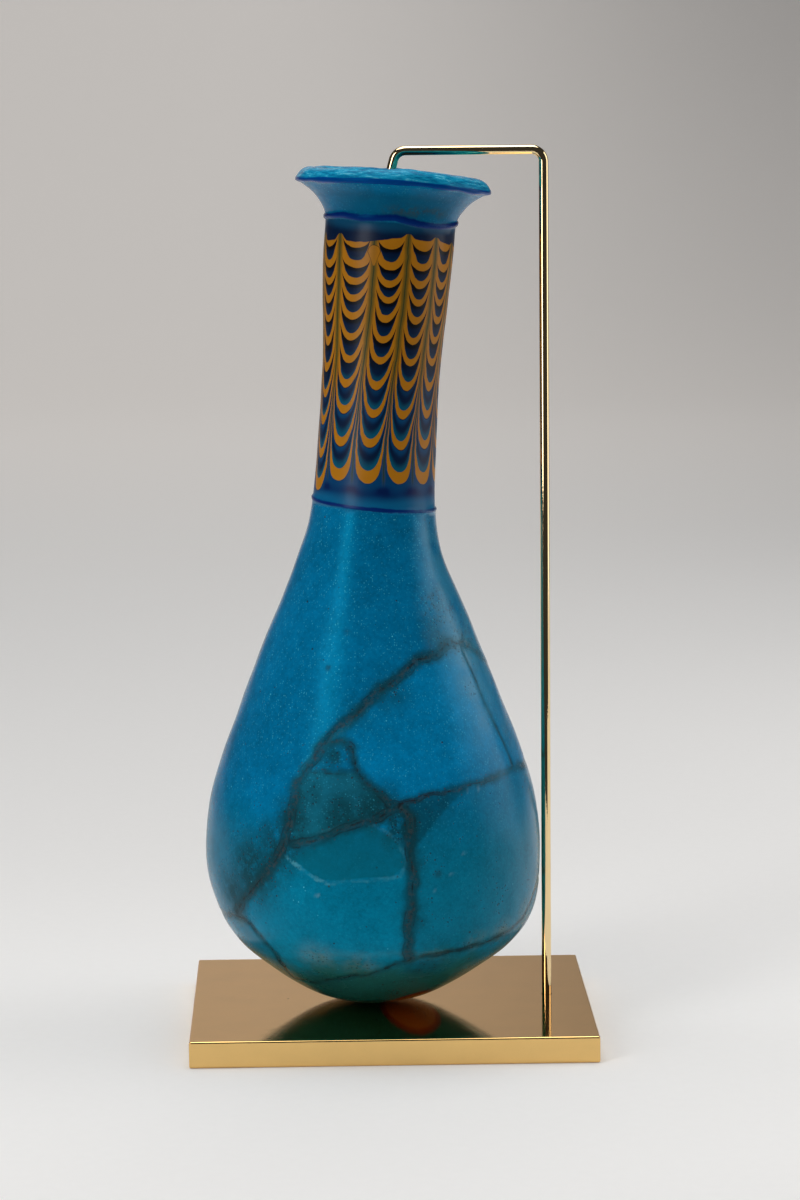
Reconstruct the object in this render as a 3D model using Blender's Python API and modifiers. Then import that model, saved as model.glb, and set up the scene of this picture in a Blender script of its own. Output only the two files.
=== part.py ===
"""An ancient core-formed glass bottle on its brass display stand, in metres.

The bottle has a drop-shaped body, a neck that leans a little, and a flared mouth. It is hollow.
Two raised threads of dark glass run round it, at the foot and at the head of the neck.
Its rounded bottom sits on a brass plate, and a bent brass rod rises from the plate and hooks down
into the neck. The origin is the middle of the plate's underside, +X is on the rod's side, and the
front of the bottle faces -Y.
"""

import math

import bmesh
import bpy
from mathutils import Matrix, Vector

# Gaps and clearances
CONTACT_GAP = 0.0003
POST_TO_BELLY = 0.0003
SEAT_CLEARANCE = 0.0003

# Bottle: heights are measured along its axis from the outside of its rounded bottom
BELLY_RADIUS = 0.0429
BELLY_HEIGHT = 0.0397
NECK_FOOT_RADIUS = 0.0159
NECK_FOOT_HEIGHT = 0.1272
NECK_WAIST_RADIUS = 0.0151
NECK_HEAD_RADIUS = 0.0165
NECK_LENGTH = 0.0715
FLARE_HEIGHT = 0.0088
LIP_RADIUS = 0.0246
LIP_CREST = 0.0036
BODY_WALL = 0.0042
NECK_WALL = 0.0046

# Raised threads of dark glass
HEAD_THREAD_HALF_WIDTH = 0.0009
HEAD_THREAD_RISE = 0.0007
FOOT_THREAD_HALF_WIDTH = 0.0007
FOOT_THREAD_RISE = 0.0005

# How the hot glass moved out of true: the neck leans towards +X, more so at its head, the rim rises
# at the front and the back, and below the belly the body is pushed towards +X
NECK_LEAN = math.radians(3.2)
LEAN_START = 0.1040
LEAN_LENGTH = 0.0120
NECK_CURVE = math.radians(1.5)
RIM_FRONT_RISE = 0.0016
RIM_BACK_RISE = 0.0006
LOW_BULGE = 0.0009

# Stand
PLATE_THICKNESS = 0.0067
PLATE_DEPTH = 0.0889
PLATE_LEFT_MARGIN = 0.0036
PLATE_RIGHT_MARGIN = 0.0106
PLATE_EDGE_ROUND = 0.0005
BOTTLE_FORWARD = 0.0015
ROD_RADIUS = 0.0012
ROD_SETBACK = 0.0020
ROD_SEAT_DEPTH = 0.72 * PLATE_THICKNESS
BEND_RADIUS = 0.0031
BAR_ABOVE_LIP = 0.0052
HOOK_RIGHT_OF_MOUTH = 0.0008
HOOK_SLANT = math.radians(15.0)

# The outline's shape, as shares of the sizes above
# Below the belly: share of the belly's height and of its radius
LOWER_BODY = ((0.0, 0.0), (0.020, 0.216), (0.070, 0.363), (0.150, 0.500), (0.250, 0.639), (0.400, 0.814),
              (0.550, 0.917), (0.750, 0.976))
# Above the belly: share of the way up to the neck's foot, and of the way out from the neck to the belly
UPPER_BODY = ((0.0, 1.0), (0.137, 0.959), (0.274, 0.838), (0.411, 0.672), (0.549, 0.502), (0.686, 0.321),
              (0.823, 0.133), (0.910, 0.045))
# Along the neck: where its waist starts and ends, and where it reaches its width at the head
WAIST_FROM, WAIST_TO, HEAD_FROM = 0.22, 0.50, 0.88
# The flare's underside: share of the flare's height and of its overhang beyond the neck
FLARE = ((0.22, 0.06), (0.43, 0.20), (0.64, 0.40), (0.82, 0.66), (0.93, 0.86))
# The lip's rounded top, outside to inside: share of the way in to the bore, and of the crest's height
LIP_TOP = ((0.03, 0.44), (0.13, 0.83), (0.28, 1.0), (0.46, 0.86), (0.63, 0.33))
# The throat below it: share of the way in to the bore, and of the flare's height down
THROAT = ((0.80, 0.32), (0.95, 0.93))

# How finely the curved surfaces are divided
AROUND = 48
CURVE_STEPS = 2
ROD_SIDES_RESOLUTION = 3
DRILL_SIDES = 24
BEND_STEPS = 6
HOOK_STEP = 0.0005
MERGE_DISTANCE = 0.00001

GLASS_COLOUR = (0.01, 0.21, 0.38)
BRASS_COLOUR = (0.72, 0.50, 0.21)

NECK_HEAD_HEIGHT = NECK_FOOT_HEIGHT + NECK_LENGTH
LIP_HEIGHT = NECK_HEAD_HEIGHT + FLARE_HEIGHT
BORE_RADIUS = NECK_WAIST_RADIUS - NECK_WALL


def smooth_curve(points, steps):
    """Points (radius, height) on a smooth curve through the given ones, with this many steps a span.
    The first point lies on the axis, and the curve leaves the axis square to it."""
    before = (-points[1][0], points[1][1])
    last, inner = points[-1], points[-2]
    after = (2 * last[0] - inner[0], 2 * last[1] - inner[1])
    path = [Vector(p) for p in (before, *points, after)]
    found = []
    for a, b, c, d in zip(path, path[1:], path[2:], path[3:]):
        t1 = (b - a).length ** 0.5
        t2 = t1 + (c - b).length ** 0.5
        t3 = t2 + (d - c).length ** 0.5
        for step in range(steps):
            t = t1 + (t2 - t1) * step / steps
            ab = a.lerp(b, t / t1)
            bc = b.lerp(c, (t - t1) / (t2 - t1))
            cd = c.lerp(d, (t - t2) / (t3 - t2))
            abc = ab.lerp(bc, t / t2)
            bcd = bc.lerp(cd, (t - t1) / (t3 - t1))
            found.append(abc.lerp(bcd, (t - t1) / (t2 - t1)))
    found.append(path[-2])
    return found


def body_outline():
    """The outside from the bottom to the neck's foot."""
    lower = [(share * BELLY_RADIUS, height * BELLY_HEIGHT) for height, share in LOWER_BODY]
    rise = NECK_FOOT_HEIGHT - BELLY_HEIGHT
    reach = BELLY_RADIUS - NECK_FOOT_RADIUS
    upper = [(NECK_FOOT_RADIUS + share * reach, BELLY_HEIGHT + height * rise) for height, share in UPPER_BODY]
    return lower + upper


def neck_outline():
    """The outside from the neck's foot to its head, without the raised threads."""
    bottom, length = NECK_FOOT_HEIGHT, NECK_LENGTH
    return [(NECK_FOOT_RADIUS, bottom), (NECK_WAIST_RADIUS, bottom + WAIST_FROM * length),
            (NECK_WAIST_RADIUS, bottom + WAIST_TO * length), (NECK_HEAD_RADIUS, bottom + HEAD_FROM * length),
            (NECK_HEAD_RADIUS, bottom + length)]


def flare_outline():
    """The flare's underside, from above the neck's head to the lip's edge."""
    overhang = LIP_RADIUS - NECK_HEAD_RADIUS
    points = [(NECK_HEAD_RADIUS + share * overhang, NECK_HEAD_HEIGHT + height * FLARE_HEIGHT)
              for height, share in FLARE]
    return points + [(LIP_RADIUS, LIP_HEIGHT)]


def with_thread(outline, height, half_width, rise):
    """The outline with a half-round thread laid on it at this height."""
    below = [p for p in outline if p.y < height - half_width]
    above = [p for p in outline if p.y > height + half_width]
    start, end = below[-1], above[0]
    thread = []
    for turn in (180, 135, 90, 45, 0):
        up = height + half_width * math.cos(math.radians(turn))
        share = (up - start.y) / (end.y - start.y)
        proud = rise * math.sin(math.radians(turn))
        thread.append(Vector((start.x + share * (end.x - start.x) + proud, up)))
    return below + thread + above


def wall_at(height):
    """The wall's thickness at this height: the body's below the shoulder, the neck's above it."""
    share = (height - BELLY_HEIGHT) / (NECK_FOOT_HEIGHT - BELLY_HEIGHT)
    share = min(max(share, 0.0), 1.0)
    return BODY_WALL + (NECK_WALL - BODY_WALL) * share


def lip_outline():
    """Over the lip from its edge and down the throat to the bore."""
    inwards = LIP_RADIUS - (NECK_HEAD_RADIUS - NECK_WALL)
    top = [Vector((LIP_RADIUS - share * inwards, LIP_HEIGHT + up * LIP_CREST)) for share, up in LIP_TOP]
    return top + [Vector((LIP_RADIUS - share * inwards, LIP_HEIGHT - down * FLARE_HEIGHT))
                  for share, down in THROAT]


def inside_of(outline):
    """The inner surface, one wall in from the outline."""
    inner = []
    for before, here, after in zip(outline, outline[1:], outline[2:]):
        along = (after - before).normalized()
        inner.append(here + Vector((-along.y, along.x)) * wall_at(here.y))
    return [Vector((0.0, BODY_WALL))] + [p for p in inner if p.x > BODY_WALL * 0.5]


def axis_at(height):
    """The bottle's axis at this distance along it: its place, and how far it leans there."""
    place = Vector((0.0, 0.0, 0.0))
    lean = 0.0
    left = height
    neck_run = LIP_HEIGHT - LEAN_START - LEAN_LENGTH
    for length, turn in ((LEAN_START, 0.0), (LEAN_LENGTH, NECK_LEAN), (neck_run, NECK_CURVE)):
        step = min(left, length)
        half = turn * step / length / 2
        chord = step * math.sin(half) / half if half else step
        place += Vector((math.sin(lean + half), 0.0, math.cos(lean + half))) * chord
        lean += 2 * half
        left -= step
    return place + Vector((math.sin(lean), 0.0, math.cos(lean))) * left, lean


def leaned(point):
    """A point of the upright bottle, moved to where the leaning neck and the uneven rim carry it."""
    x, y, height = point
    if height > NECK_HEAD_HEIGHT:
        share = min((height - NECK_HEAD_HEIGHT) / FLARE_HEIGHT, 1.0)
        rise = RIM_BACK_RISE if y > 0.0 else RIM_FRONT_RISE
        height += share * rise * math.sin(math.atan2(y, x)) ** 2
    if height < BELLY_HEIGHT:
        x += LOW_BULGE * math.sin(math.pi * height / BELLY_HEIGHT) ** 2
    centre, lean = axis_at(height)
    return centre + Vector((x * math.cos(lean), y, -x * math.sin(lean)))


def plate_width():
    """From the left margin, past the belly and the post, to the right margin."""
    return PLATE_LEFT_MARGIN + BELLY_RADIUS + post_from_bottle() + PLATE_RIGHT_MARGIN


def post_from_bottle():
    """How far right of the bottle's axis the post stands, so that it just clears the belly."""
    apart = BELLY_RADIUS + POST_TO_BELLY + ROD_RADIUS
    return math.sqrt(apart ** 2 - ROD_SETBACK ** 2)


def bottle_foot():
    """Where the bottle's rounded bottom rests, on the top of the plate."""
    x = -plate_width() / 2 + PLATE_LEFT_MARGIN + BELLY_RADIUS
    return Vector((x, -BOTTLE_FORWARD, PLATE_THICKNESS + CONTACT_GAP))


def rod_corners():
    """The rod's foot, its two corners and its tip, which rests against the inside of the neck."""
    foot = bottle_foot()
    y = foot.y + ROD_SETBACK
    post_x = foot.x + post_from_bottle()
    mouth = foot + axis_at(LIP_HEIGHT)[0]
    bar_z = mouth.z + LIP_CREST + BAR_ABOVE_LIP
    hook = Vector((mouth.x + HOOK_RIGHT_OF_MOUTH, y, bar_z))
    downwards = Vector((-math.sin(HOOK_SLANT), 0.0, -math.cos(HOOK_SLANT)))
    tip = hook + downwards * 2 * BEND_RADIUS
    while clear_of_neck(tip - foot):
        tip += downwards * HOOK_STEP
    seat = Vector((post_x, y, PLATE_THICKNESS - ROD_SEAT_DEPTH))
    return seat, Vector((post_x, y, bar_z)), hook, tip


def clear_of_neck(point):
    """Whether the rod's middle line can pass this point, seen from the bottle's foot, without touching."""
    centre, lean = axis_at(point.z)
    across = (point - centre).dot(Vector((math.cos(lean), 0.0, -math.sin(lean))))
    return math.hypot(across, point.y) < BORE_RADIUS - ROD_RADIUS - CONTACT_GAP


def rounded_path(corners, radius, steps):
    """The corners joined by straight runs, with an arc of this radius at each corner between."""
    path = [corners[0]]
    for before, corner, after in zip(corners, corners[1:], corners[2:]):
        arriving = (corner - before).normalized()
        leaving = (after - corner).normalized()
        turn = arriving.angle(leaving)
        start = corner - arriving * radius * math.tan(turn / 2)
        inward = (leaving - arriving * arriving.dot(leaving)).normalized()
        centre = start + inward * radius
        for step in range(steps + 1):
            angle = turn * step / steps
            path.append(centre + (arriving * math.sin(angle) - inward * math.cos(angle)) * radius)
    return path + [corners[-1]]


def material(name, colour, roughness, metallic):
    made = bpy.data.materials.new(name)
    made.use_nodes = True
    shader = made.node_tree.nodes["Principled BSDF"]
    shader.inputs["Base Color"].default_value = (*colour, 1.0)
    shader.inputs["Roughness"].default_value = roughness
    shader.inputs["Metallic"].default_value = metallic
    made.diffuse_color = (*colour, 1.0)
    return made


def add_object(name, data, finish, collection):
    made = bpy.data.objects.new(name, data)
    collection.objects.link(made)
    if finish:
        data.materials.append(finish)
    return made


def evaluated_mesh(thing):
    """The object's mesh with its modifiers applied."""
    bpy.context.view_layer.update()
    return bpy.data.meshes.new_from_object(thing.evaluated_get(bpy.context.evaluated_depsgraph_get()))


def bottle_profile():
    """The bottle's whole section: up the inside from the bottom, over the lip and down the outside."""
    outside = smooth_curve(body_outline() + neck_outline() + flare_outline(), CURVE_STEPS)
    plain = [p for p in outside if p.y < NECK_HEAD_HEIGHT]
    inside = inside_of(plain)[::CURVE_STEPS]
    outside = with_thread(outside, NECK_FOOT_HEIGHT, FOOT_THREAD_HALF_WIDTH, FOOT_THREAD_RISE)
    outside = with_thread(outside, NECK_HEAD_HEIGHT, HEAD_THREAD_HALF_WIDTH, HEAD_THREAD_RISE)
    return inside + list(reversed(lip_outline())) + list(reversed(outside))


def make_bottle(finish, collection):
    """The section turned round the axis, then leaned."""
    section = bpy.data.meshes.new("bottle_section")
    points = [(p.x, 0.0, p.y) for p in bottle_profile()]
    section.from_pydata(points, [(i, i + 1) for i in range(len(points) - 1)], [])
    turned = add_object("bottle_turning", section, None, collection)
    screw = turned.modifiers.new("Turn", "SCREW")
    screw.axis = "Z"
    screw.steps = AROUND
    screw.render_steps = AROUND
    screw.use_merge_vertices = True
    screw.merge_threshold = MERGE_DISTANCE
    mesh = evaluated_mesh(turned)
    bpy.data.objects.remove(turned)
    mesh.name = "bottle"
    for vertex in mesh.vertices:
        vertex.co = leaned(vertex.co)
    mesh.shade_smooth()
    made = add_object("bottle", mesh, finish, collection)
    made.location = bottle_foot()
    return made


def make_plate(finish, collection, cutters):
    """The plate, with a blind hole for the rod's foot."""
    seat = rod_corners()[0]
    mesh = bpy.data.meshes.new("base_plate")
    box = bmesh.new()
    size = Matrix.Diagonal((plate_width(), PLATE_DEPTH, PLATE_THICKNESS, 1.0))
    bmesh.ops.create_cube(box, size=1.0, matrix=size)
    box.to_mesh(mesh)
    box.free()
    plate = add_object("base_plate", mesh, finish, collection)
    plate.location.z = PLATE_THICKNESS / 2
    edge = plate.modifiers.new("Softened edges", "BEVEL")
    edge.width = PLATE_EDGE_ROUND
    edge.segments = 2

    drill_mesh = bpy.data.meshes.new("seat_drill")
    drill_shape = bmesh.new()
    depth = 2 * (ROD_SEAT_DEPTH + CONTACT_GAP)
    radius = ROD_RADIUS + SEAT_CLEARANCE
    bmesh.ops.create_cone(drill_shape, cap_ends=True, segments=DRILL_SIDES, radius1=radius, radius2=radius,
                          depth=depth)
    drill_shape.to_mesh(drill_mesh)
    drill_shape.free()
    drill = add_object("seat_drill", drill_mesh, None, cutters)
    drill.location = (seat.x, seat.y, PLATE_THICKNESS)
    drill.hide_render = True
    drill.display_type = "WIRE"
    cut = plate.modifiers.new("Rod seat", "BOOLEAN")
    cut.operation = "DIFFERENCE"
    cut.object = drill
    return plate


def make_rod(finish, collection):
    """The post, the bar and the hook, bent from one round rod."""
    curve = bpy.data.curves.new("support_rod", "CURVE")
    curve.dimensions = "3D"
    curve.bevel_depth = ROD_RADIUS
    curve.bevel_resolution = ROD_SIDES_RESOLUTION
    curve.use_fill_caps = True
    path = rounded_path(rod_corners(), BEND_RADIUS, BEND_STEPS)
    line = curve.splines.new("POLY")
    line.points.add(len(path) - 1)
    for point, place in zip(line.points, path):
        point.co = (*place, 1.0)
    return add_object("support_rod", curve, finish, collection)


def main():
    for thing in list(bpy.data.objects):
        bpy.data.objects.remove(thing)
    parts = bpy.data.collections.new("glass_bottle_on_stand")
    cutters = bpy.data.collections.new("cutters")
    for collection in (parts, cutters):
        bpy.context.scene.collection.children.link(collection)
    glass = material("turquoise_glass", GLASS_COLOUR, 0.35, 0.0)
    brass = material("polished_brass", BRASS_COLOUR, 0.12, 1.0)
    make_bottle(glass, parts)
    make_plate(brass, parts, cutters)
    make_rod(brass, parts)


main()
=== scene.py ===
"""The looks of an ancient core-formed glass bottle on its brass stand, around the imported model.

The bottle is turned from the same named sizes as the solid, with finer steps. Its surface is then
moved: the hot glass's lumps, the raised threads, the joins between its fragments and the chips.
Its material follows attributes of its mesh that were written before the neck was leaned, so that
the swags, the joins and the spots stay where they are on the glass.
Heights on the bottle are measured along its axis from the outside of its rounded bottom, and turns
round it are in degrees from the front, positive towards the post.
"""

import math
from collections import namedtuple

import bpy
import numpy as np
from bpy.props import FloatProperty, FloatVectorProperty, IntProperty, PointerProperty
from mathutils import Matrix, Vector, noise


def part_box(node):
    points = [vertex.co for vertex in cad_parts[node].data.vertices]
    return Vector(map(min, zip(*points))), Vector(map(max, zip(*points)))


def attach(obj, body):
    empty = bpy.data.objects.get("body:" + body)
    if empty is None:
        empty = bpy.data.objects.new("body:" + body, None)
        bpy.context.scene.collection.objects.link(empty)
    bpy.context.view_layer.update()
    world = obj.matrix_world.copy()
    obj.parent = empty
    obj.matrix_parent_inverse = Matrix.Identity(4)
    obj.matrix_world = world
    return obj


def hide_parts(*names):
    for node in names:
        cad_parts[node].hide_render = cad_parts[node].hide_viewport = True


bl_info = {
    "name": "Glass Bottle on a Brass Stand",
    "version": (1, 0, 0),
    "blender": (4, 5, 0),
    "location": "View3D > Sidebar > Glass Bottle",
    "description": "Builds a mended core-formed glass bottle with a swagged neck on its brass stand",
    "category": "Object",
}

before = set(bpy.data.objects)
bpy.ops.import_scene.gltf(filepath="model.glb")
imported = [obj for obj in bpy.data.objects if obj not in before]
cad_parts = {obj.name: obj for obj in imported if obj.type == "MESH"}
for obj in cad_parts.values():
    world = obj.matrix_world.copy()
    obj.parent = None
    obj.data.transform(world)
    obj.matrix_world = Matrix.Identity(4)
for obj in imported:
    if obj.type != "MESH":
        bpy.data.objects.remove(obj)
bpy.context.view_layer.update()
bottle_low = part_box("bottle")[0]
plate_low, plate_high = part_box("base_plate")
rod_low, rod_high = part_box("support_rod")

MM = 0.001

# The bottle's outline, as in the solid
BELLY_RADIUS = 0.0429
BELLY_HEIGHT = 0.0397
NECK_FOOT_RADIUS = 0.0159
NECK_FOOT_HEIGHT = 0.1272
NECK_WAIST_RADIUS = 0.0151
NECK_HEAD_RADIUS = 0.0165
NECK_LENGTH = 0.0715
FLARE_HEIGHT = 0.0088
LIP_RADIUS = 0.0246
LIP_CREST = 0.0036
BODY_WALL = 0.0042
NECK_WALL = 0.0046
NECK_LEAN = math.radians(3.2)
LEAN_START = 0.1040
LEAN_LENGTH = 0.0120
NECK_CURVE = math.radians(1.5)
RIM_FRONT_RISE = 0.0016
RIM_BACK_RISE = 0.0006
LOW_BULGE = 0.0009
NECK_HEAD_HEIGHT = NECK_FOOT_HEIGHT + NECK_LENGTH
LIP_HEIGHT = NECK_HEAD_HEIGHT + FLARE_HEIGHT

# The stand: its sizes as in the solid, and how finely its round parts are divided
ROD_RADIUS = 0.0012
BEND_RADIUS = 0.0031
HOOK_RIGHT_OF_MOUTH = 0.0008
HOOK_SLANT = math.radians(15.0)
SEAT_CLEARANCE = 0.0003
BEND_STEPS = 14
SEAT_SIDES = 48
EDGE_STEPS = 4
SHARP_ANGLE = math.radians(50.0)

# The outline's shape: shares of the sizes above, as in the solid
LOWER_BODY = ((0.0, 0.0), (0.020, 0.216), (0.070, 0.363), (0.150, 0.500), (0.250, 0.639), (0.400, 0.814),
              (0.550, 0.917), (0.750, 0.976))
UPPER_BODY = ((0.0, 1.0), (0.137, 0.959), (0.274, 0.838), (0.411, 0.672), (0.549, 0.502), (0.686, 0.321),
              (0.823, 0.133), (0.910, 0.045))
WAIST_FROM, WAIST_TO, HEAD_FROM = 0.22, 0.50, 0.88
FLARE = ((0.22, 0.06), (0.43, 0.20), (0.64, 0.40), (0.82, 0.66), (0.93, 0.86))
LIP_TOP = ((0.03, 0.44), (0.13, 0.83), (0.28, 1.0), (0.46, 0.86), (0.63, 0.33))
THROAT = ((0.80, 0.32), (0.95, 0.93))

# How finely the bottle is divided: steps round it, how much closer they stand at the front than at the
# back, and how far its rows lie apart
STEPS_ROUND = 280
FRONT_CROWDING = 0.28
CURVE_STEPS = 24
BODY_ROW = 0.00076
NECK_ROW = 0.0018
THREAD_ROW = 0.00030
FLARE_ROW = 0.0007
INSIDE_ROW = 0.0060
THREAD_MIDDLES = (NECK_FOOT_HEIGHT + 0.7 * MM, NECK_HEAD_HEIGHT + 0.9 * MM)
THREAD_ROWS_REACH = 1.7 * MM
POLE_REACH = 0.00001
MERGE_DISTANCE = 0.000002

# Lines on the skin, in mm: how close their places stand, how far from them a vertex's distance is measured,
# the distance given to all others, and the one given where a mark can't be
LINE_STEP = 0.35
LINE_REACH = 6.0
OUT_OF_REACH = 99.0
OFF_MARK = 9.0

# The raised threads: (turn, height in mm) along each, half width and rise in mm
Thread = namedtuple("Thread", "path half_width rise")
HEAD_THREAD = Thread([(-180, 199.6), (-87, 198.9), (-47, 199.9), (-28, 199.6), (2, 200.1), (25, 199.0),
                      (47, 198.7), (69, 199.0), (120, 199.8), (180, 199.6)], 0.70, 0.50)
FOOT_THREAD = Thread([(-180, 127.9), (-90, 128.7), (-30, 128.2), (20, 127.6), (82, 127.2), (130, 127.5),
                      (180, 127.9)], 0.50, 0.40)
RIM_THREAD = Thread([(-180, 207.5), (-90, 207.5), (0, 207.6), (90, 207.4), (180, 207.5)], 0.75, 0.28)
THREADS = {"head_thread": HEAD_THREAD, "foot_thread": FOOT_THREAD, "rim_thread": RIM_THREAD}

# The joins between the bottle's fragments: (turn, height in mm) along each, half width in mm and how rusty
# the old mending looks there, from 0 to 1
Join = namedtuple("Join", "path half_width rust")
JOINS = (
    Join([(77, 89.5), (61, 94), (44, 94.5), (34, 92), (23, 91.5), (10, 87), (0, 83.5), (-8, 79),
          (-16, 75.5), (-23, 70.5), (-24, 68)], 1.25, 0.25),
    Join([(56, 92), (58, 87), (60, 78.5), (63, 71.5), (65.5, 63)], 0.40, 0.1),
    Join([(125, 74), (108, 64), (88, 61), (64, 62.5), (38, 61), (18, 59.5), (8, 58)], 0.50, 0.8),
    Join([(7, 58), (12, 55), (11.5, 46), (12.5, 39), (12, 33), (10.5, 27), (10, 20.5), (12.5, 18)],
         1.30, 0.2),
    Join([(-21, 71.5), (-26, 66.5), (-30, 62.5), (-30.5, 52.5), (-32, 49), (-34.5, 44.5), (-39.5, 39.5),
          (-47, 34.5), (-54, 30.5), (-60, 27)], 1.30, 0.4),
    Join([(-110, 24), (-81, 24), (-63.5, 26), (-56, 26), (-52.5, 25), (-48.5, 22), (-46, 18), (-48, 13.5),
          (-54, 9)], 0.55, 0.15),
    Join([(-26, 65.5), (-16, 65.5), (-7, 66)], 0.42, 0.9),
    Join([(-20, 72), (-13, 73), (-8.5, 71), (-7.5, 67.5), (-5.5, 65), (-2, 62.5), (3, 60), (7, 57)],
         0.9, 0.2),
    Join([(-29, 48), (-21, 49), (-13.5, 51.5), (-7, 53.5), (1, 55), (7, 56.5)], 1.0, 0.3),
    Join([(12.5, 18), (27.5, 19.5), (43.5, 20), (56.5, 21.5), (67, 24.5), (74, 29), (80, 31), (105, 33),
          (130, 29), (160, 24), (190, 20), (220, 21), (250, 24)], 0.5, 0.3),
    Join([(12.5, 18), (5, 16), (-4.5, 13.5), (-15.5, 12), (-32, 9.5), (-42, 9), (-54, 9)], 0.45, 0.3),
    Join([(77, 89.5), (100, 84), (125, 74), (150, 66), (172, 58), (185, 44), (190, 20)], 0.7, 0.2),
)

# The fragments that differ from the large upper one: outline as (turn, height in mm), how much lighter or
# darker and how much greener they look, and how far they sit back in mm
Fragment = namedtuple("Fragment", "outline light green back")
FRAGMENTS = (
    Fragment([(56, 92), (22, 91.5), (0, 83.5), (-18, 74), (-8.5, 71), (-7.5, 67.5), (-2, 62.5), (8, 58),
              (28, 60), (65, 63), (63, 71.5)], 0.55, 0.0, 0.0),
    Fragment([(56, 92), (61, 94), (77, 89.5), (100, 84), (125, 74), (108, 64), (88, 61), (65, 63),
              (63, 71.5)], 0.3, 0.0, 0.12),
    Fragment([(8, 58), (28, 60), (65, 63), (88, 61), (108, 64), (130, 29), (105, 33), (80, 31), (67, 24.5),
              (43.5, 20), (12.5, 18), (10.5, 27), (11.5, 46), (12, 55)], 0.22, 0.25, 0.08),
    Fragment([(-26, 65.5), (-7.5, 66), (-2, 62.5), (7, 57), (-7, 53.5), (-21, 49), (-29, 48), (-30.5, 58)],
             -0.48, 0.80, 0.20),
    Fragment([(-29, 48), (-13.5, 51.5), (7, 56.5), (11.5, 46), (12.5, 39), (10.5, 27), (10, 20.5), (12.5, 18),
              (-4.5, 13.5), (-32, 9.5), (-48, 13.5), (-46, 18), (-52.5, 25), (-47, 34.5), (-39.5, 39.5),
              (-32, 49)], 0.58, 0.1, 0.10),
    Fragment([(8, 58), (32.3, 59.2), (22.8, 54.7), (13.7, 47.8), (11.5, 46), (11.5, 52)], -1.15, 0.0, -0.08),
)
CHIPS = (
    ([(-24, 47), (-15, 51), (-3.5, 53.5), (1, 52.5), (9, 48), (10, 43), (5.5, 40), (-4, 40), (-13, 39),
      (-20, 39.5), (-27, 43), (-32, 43)], 0.55),
)
CREST = [(-31, 44.5), (-27, 42.5), (-20, 39.5), (-16, 38.6), (-8, 39.6), (8.6, 40.1), (10, 44), (8, 48.5),
         (3, 52), (-3.5, 54), (-12, 52.8), (-20, 51)]

# Soft dark stains where dirt got in beside the joins, and paler films of weathered glass, which up the right
# side also stand for painted sheen and low down for a painted reflection of the brass: turn, height and
# radius in mm, and strength
STAINS = (
    (-16, 69.5, 6, 0.9), (-30, 54, 9, 0.9), (-34, 47, 12, 1.0), (-45, 40, 14, 0.95), (-57, 33, 11, 0.8),
    (-24, 60, 8, 0.6), (-12, 56, 9, 0.9), (0, 57, 10, 1.0), (9, 53, 9, 1.0), (6, 50, 6, 0.8),
    (12, 30, 7, 0.5), (12, 44, 6, 0.5), (22, 57, 7, 0.35), (8, 84, 8, 0.5), (-8, 79, 7, 0.4),
    (40, 97, 8, 0.35), (-30, 10, 9, 0.4), (20, 15, 9, 0.5), (150, 60, 16, 0.4), (-150, 30, 18, 0.4),
    (-120, 80, 12, 0.25),
)
FILMS_AND_REFLECTIONS = (
    (48, 103, 10, 0.8), (62, 94, 11, 1.0), (42, 96, 8, 0.8), (53, 84, 7, 0.6), (57, 76, 6, 0.4),
    (72, 70, 7, 0.5), (78, 58, 8, 0.5), (80, 45, 8, 0.4), (76, 34, 8, 0.3), (-62, 28, 7, 0.35),
    (-78, 40, 7, 0.3), (-25, 18, 8, 0.5), (-8, 16, 7, 0.6), (-58, 26, 5, 0.7), (66, 26, 6, 0.8),
    (52, 22, 6, 0.7), (38, 21, 5, 0.5), (170, 90, 14, 0.4), (-130, 45, 12, 0.4),
)

# Small spots on the glass: turn, height and radius in mm, and how pale (1) or dark (-1) they are
SPOTS = (
    (-21.4, 129.9, 1.0, 1.0), (-14.5, 98.5, 1.3, -0.5), (7.4, 208.6, 1.2, -0.6), (11.3, 211.6, 0.8, 0.7),
    (21.0, 40.5, 1.6, -0.6), (31.0, 45.0, 0.7, 0.55), (26.0, 40.0, 0.6, 0.4), (20.0, 36.0, 0.6, 0.35),
    (36.0, 60.0, 0.6, 0.3), (41.0, 60.0, 0.7, 0.4), (-23.0, 90.0, 1.0, -0.9), (-20.0, 35.5, 0.8, 0.35),
)

# The ochre patch on the underside: its middle right of and behind the axis, its reach both ways, and the
# height up to which it can show, in mm
OCHRE_MIDDLE = (9.0, -6.0)
OCHRE_REACH = (7.0, 10.5)
OCHRE_TOP = 14.0

# The dragged threads on the neck, in mm and degrees: 12 columns, whose pinches stand at PINCH_TURN and every
# 30 degrees from it at the neck's foot. Thread k's lowest places lie pitch * k + growth * k^3 below SWAG_TOP,
# and a band of the same yellow, with mounds over some of the pinches, runs round above them.
SWAG_COLUMNS = 12
PINCH_TURN = -53.5
SWAG_TOP = 187.5
SWAG_PITCH = 4.2
SWAG_PITCH_GROWTH = 0.0214
LAST_THREAD = 9.0
BAND_TOP = 193.9
LOOP_TURN = -14.0
LOOP_HEIGHT = 191.7
LOOP_RADIUS = 1.65

# The camera, fitted to the stand's edges
CAMERA_PLACE = (-0.0187, -0.9812, 0.2466)
CAMERA_DOWN = math.radians(7.94)
CAMERA_RIGHT = math.radians(1.28)
CAMERA_ROLL = math.radians(-0.51)
LENS = 117.1
SENSOR = 36.0

# The stage: a flat floor that sweeps up into a wall, how far the paper that can be mirrored reaches to each
# side behind the bottle, and how far in front of it
FLOOR_REACH = 1.9
SWEEP_RADIUS = 0.9
WALL_HEIGHT = 2.6
PAPER_HALF_WIDTH = 0.9
FRONT_PAPER = 0.30

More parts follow.
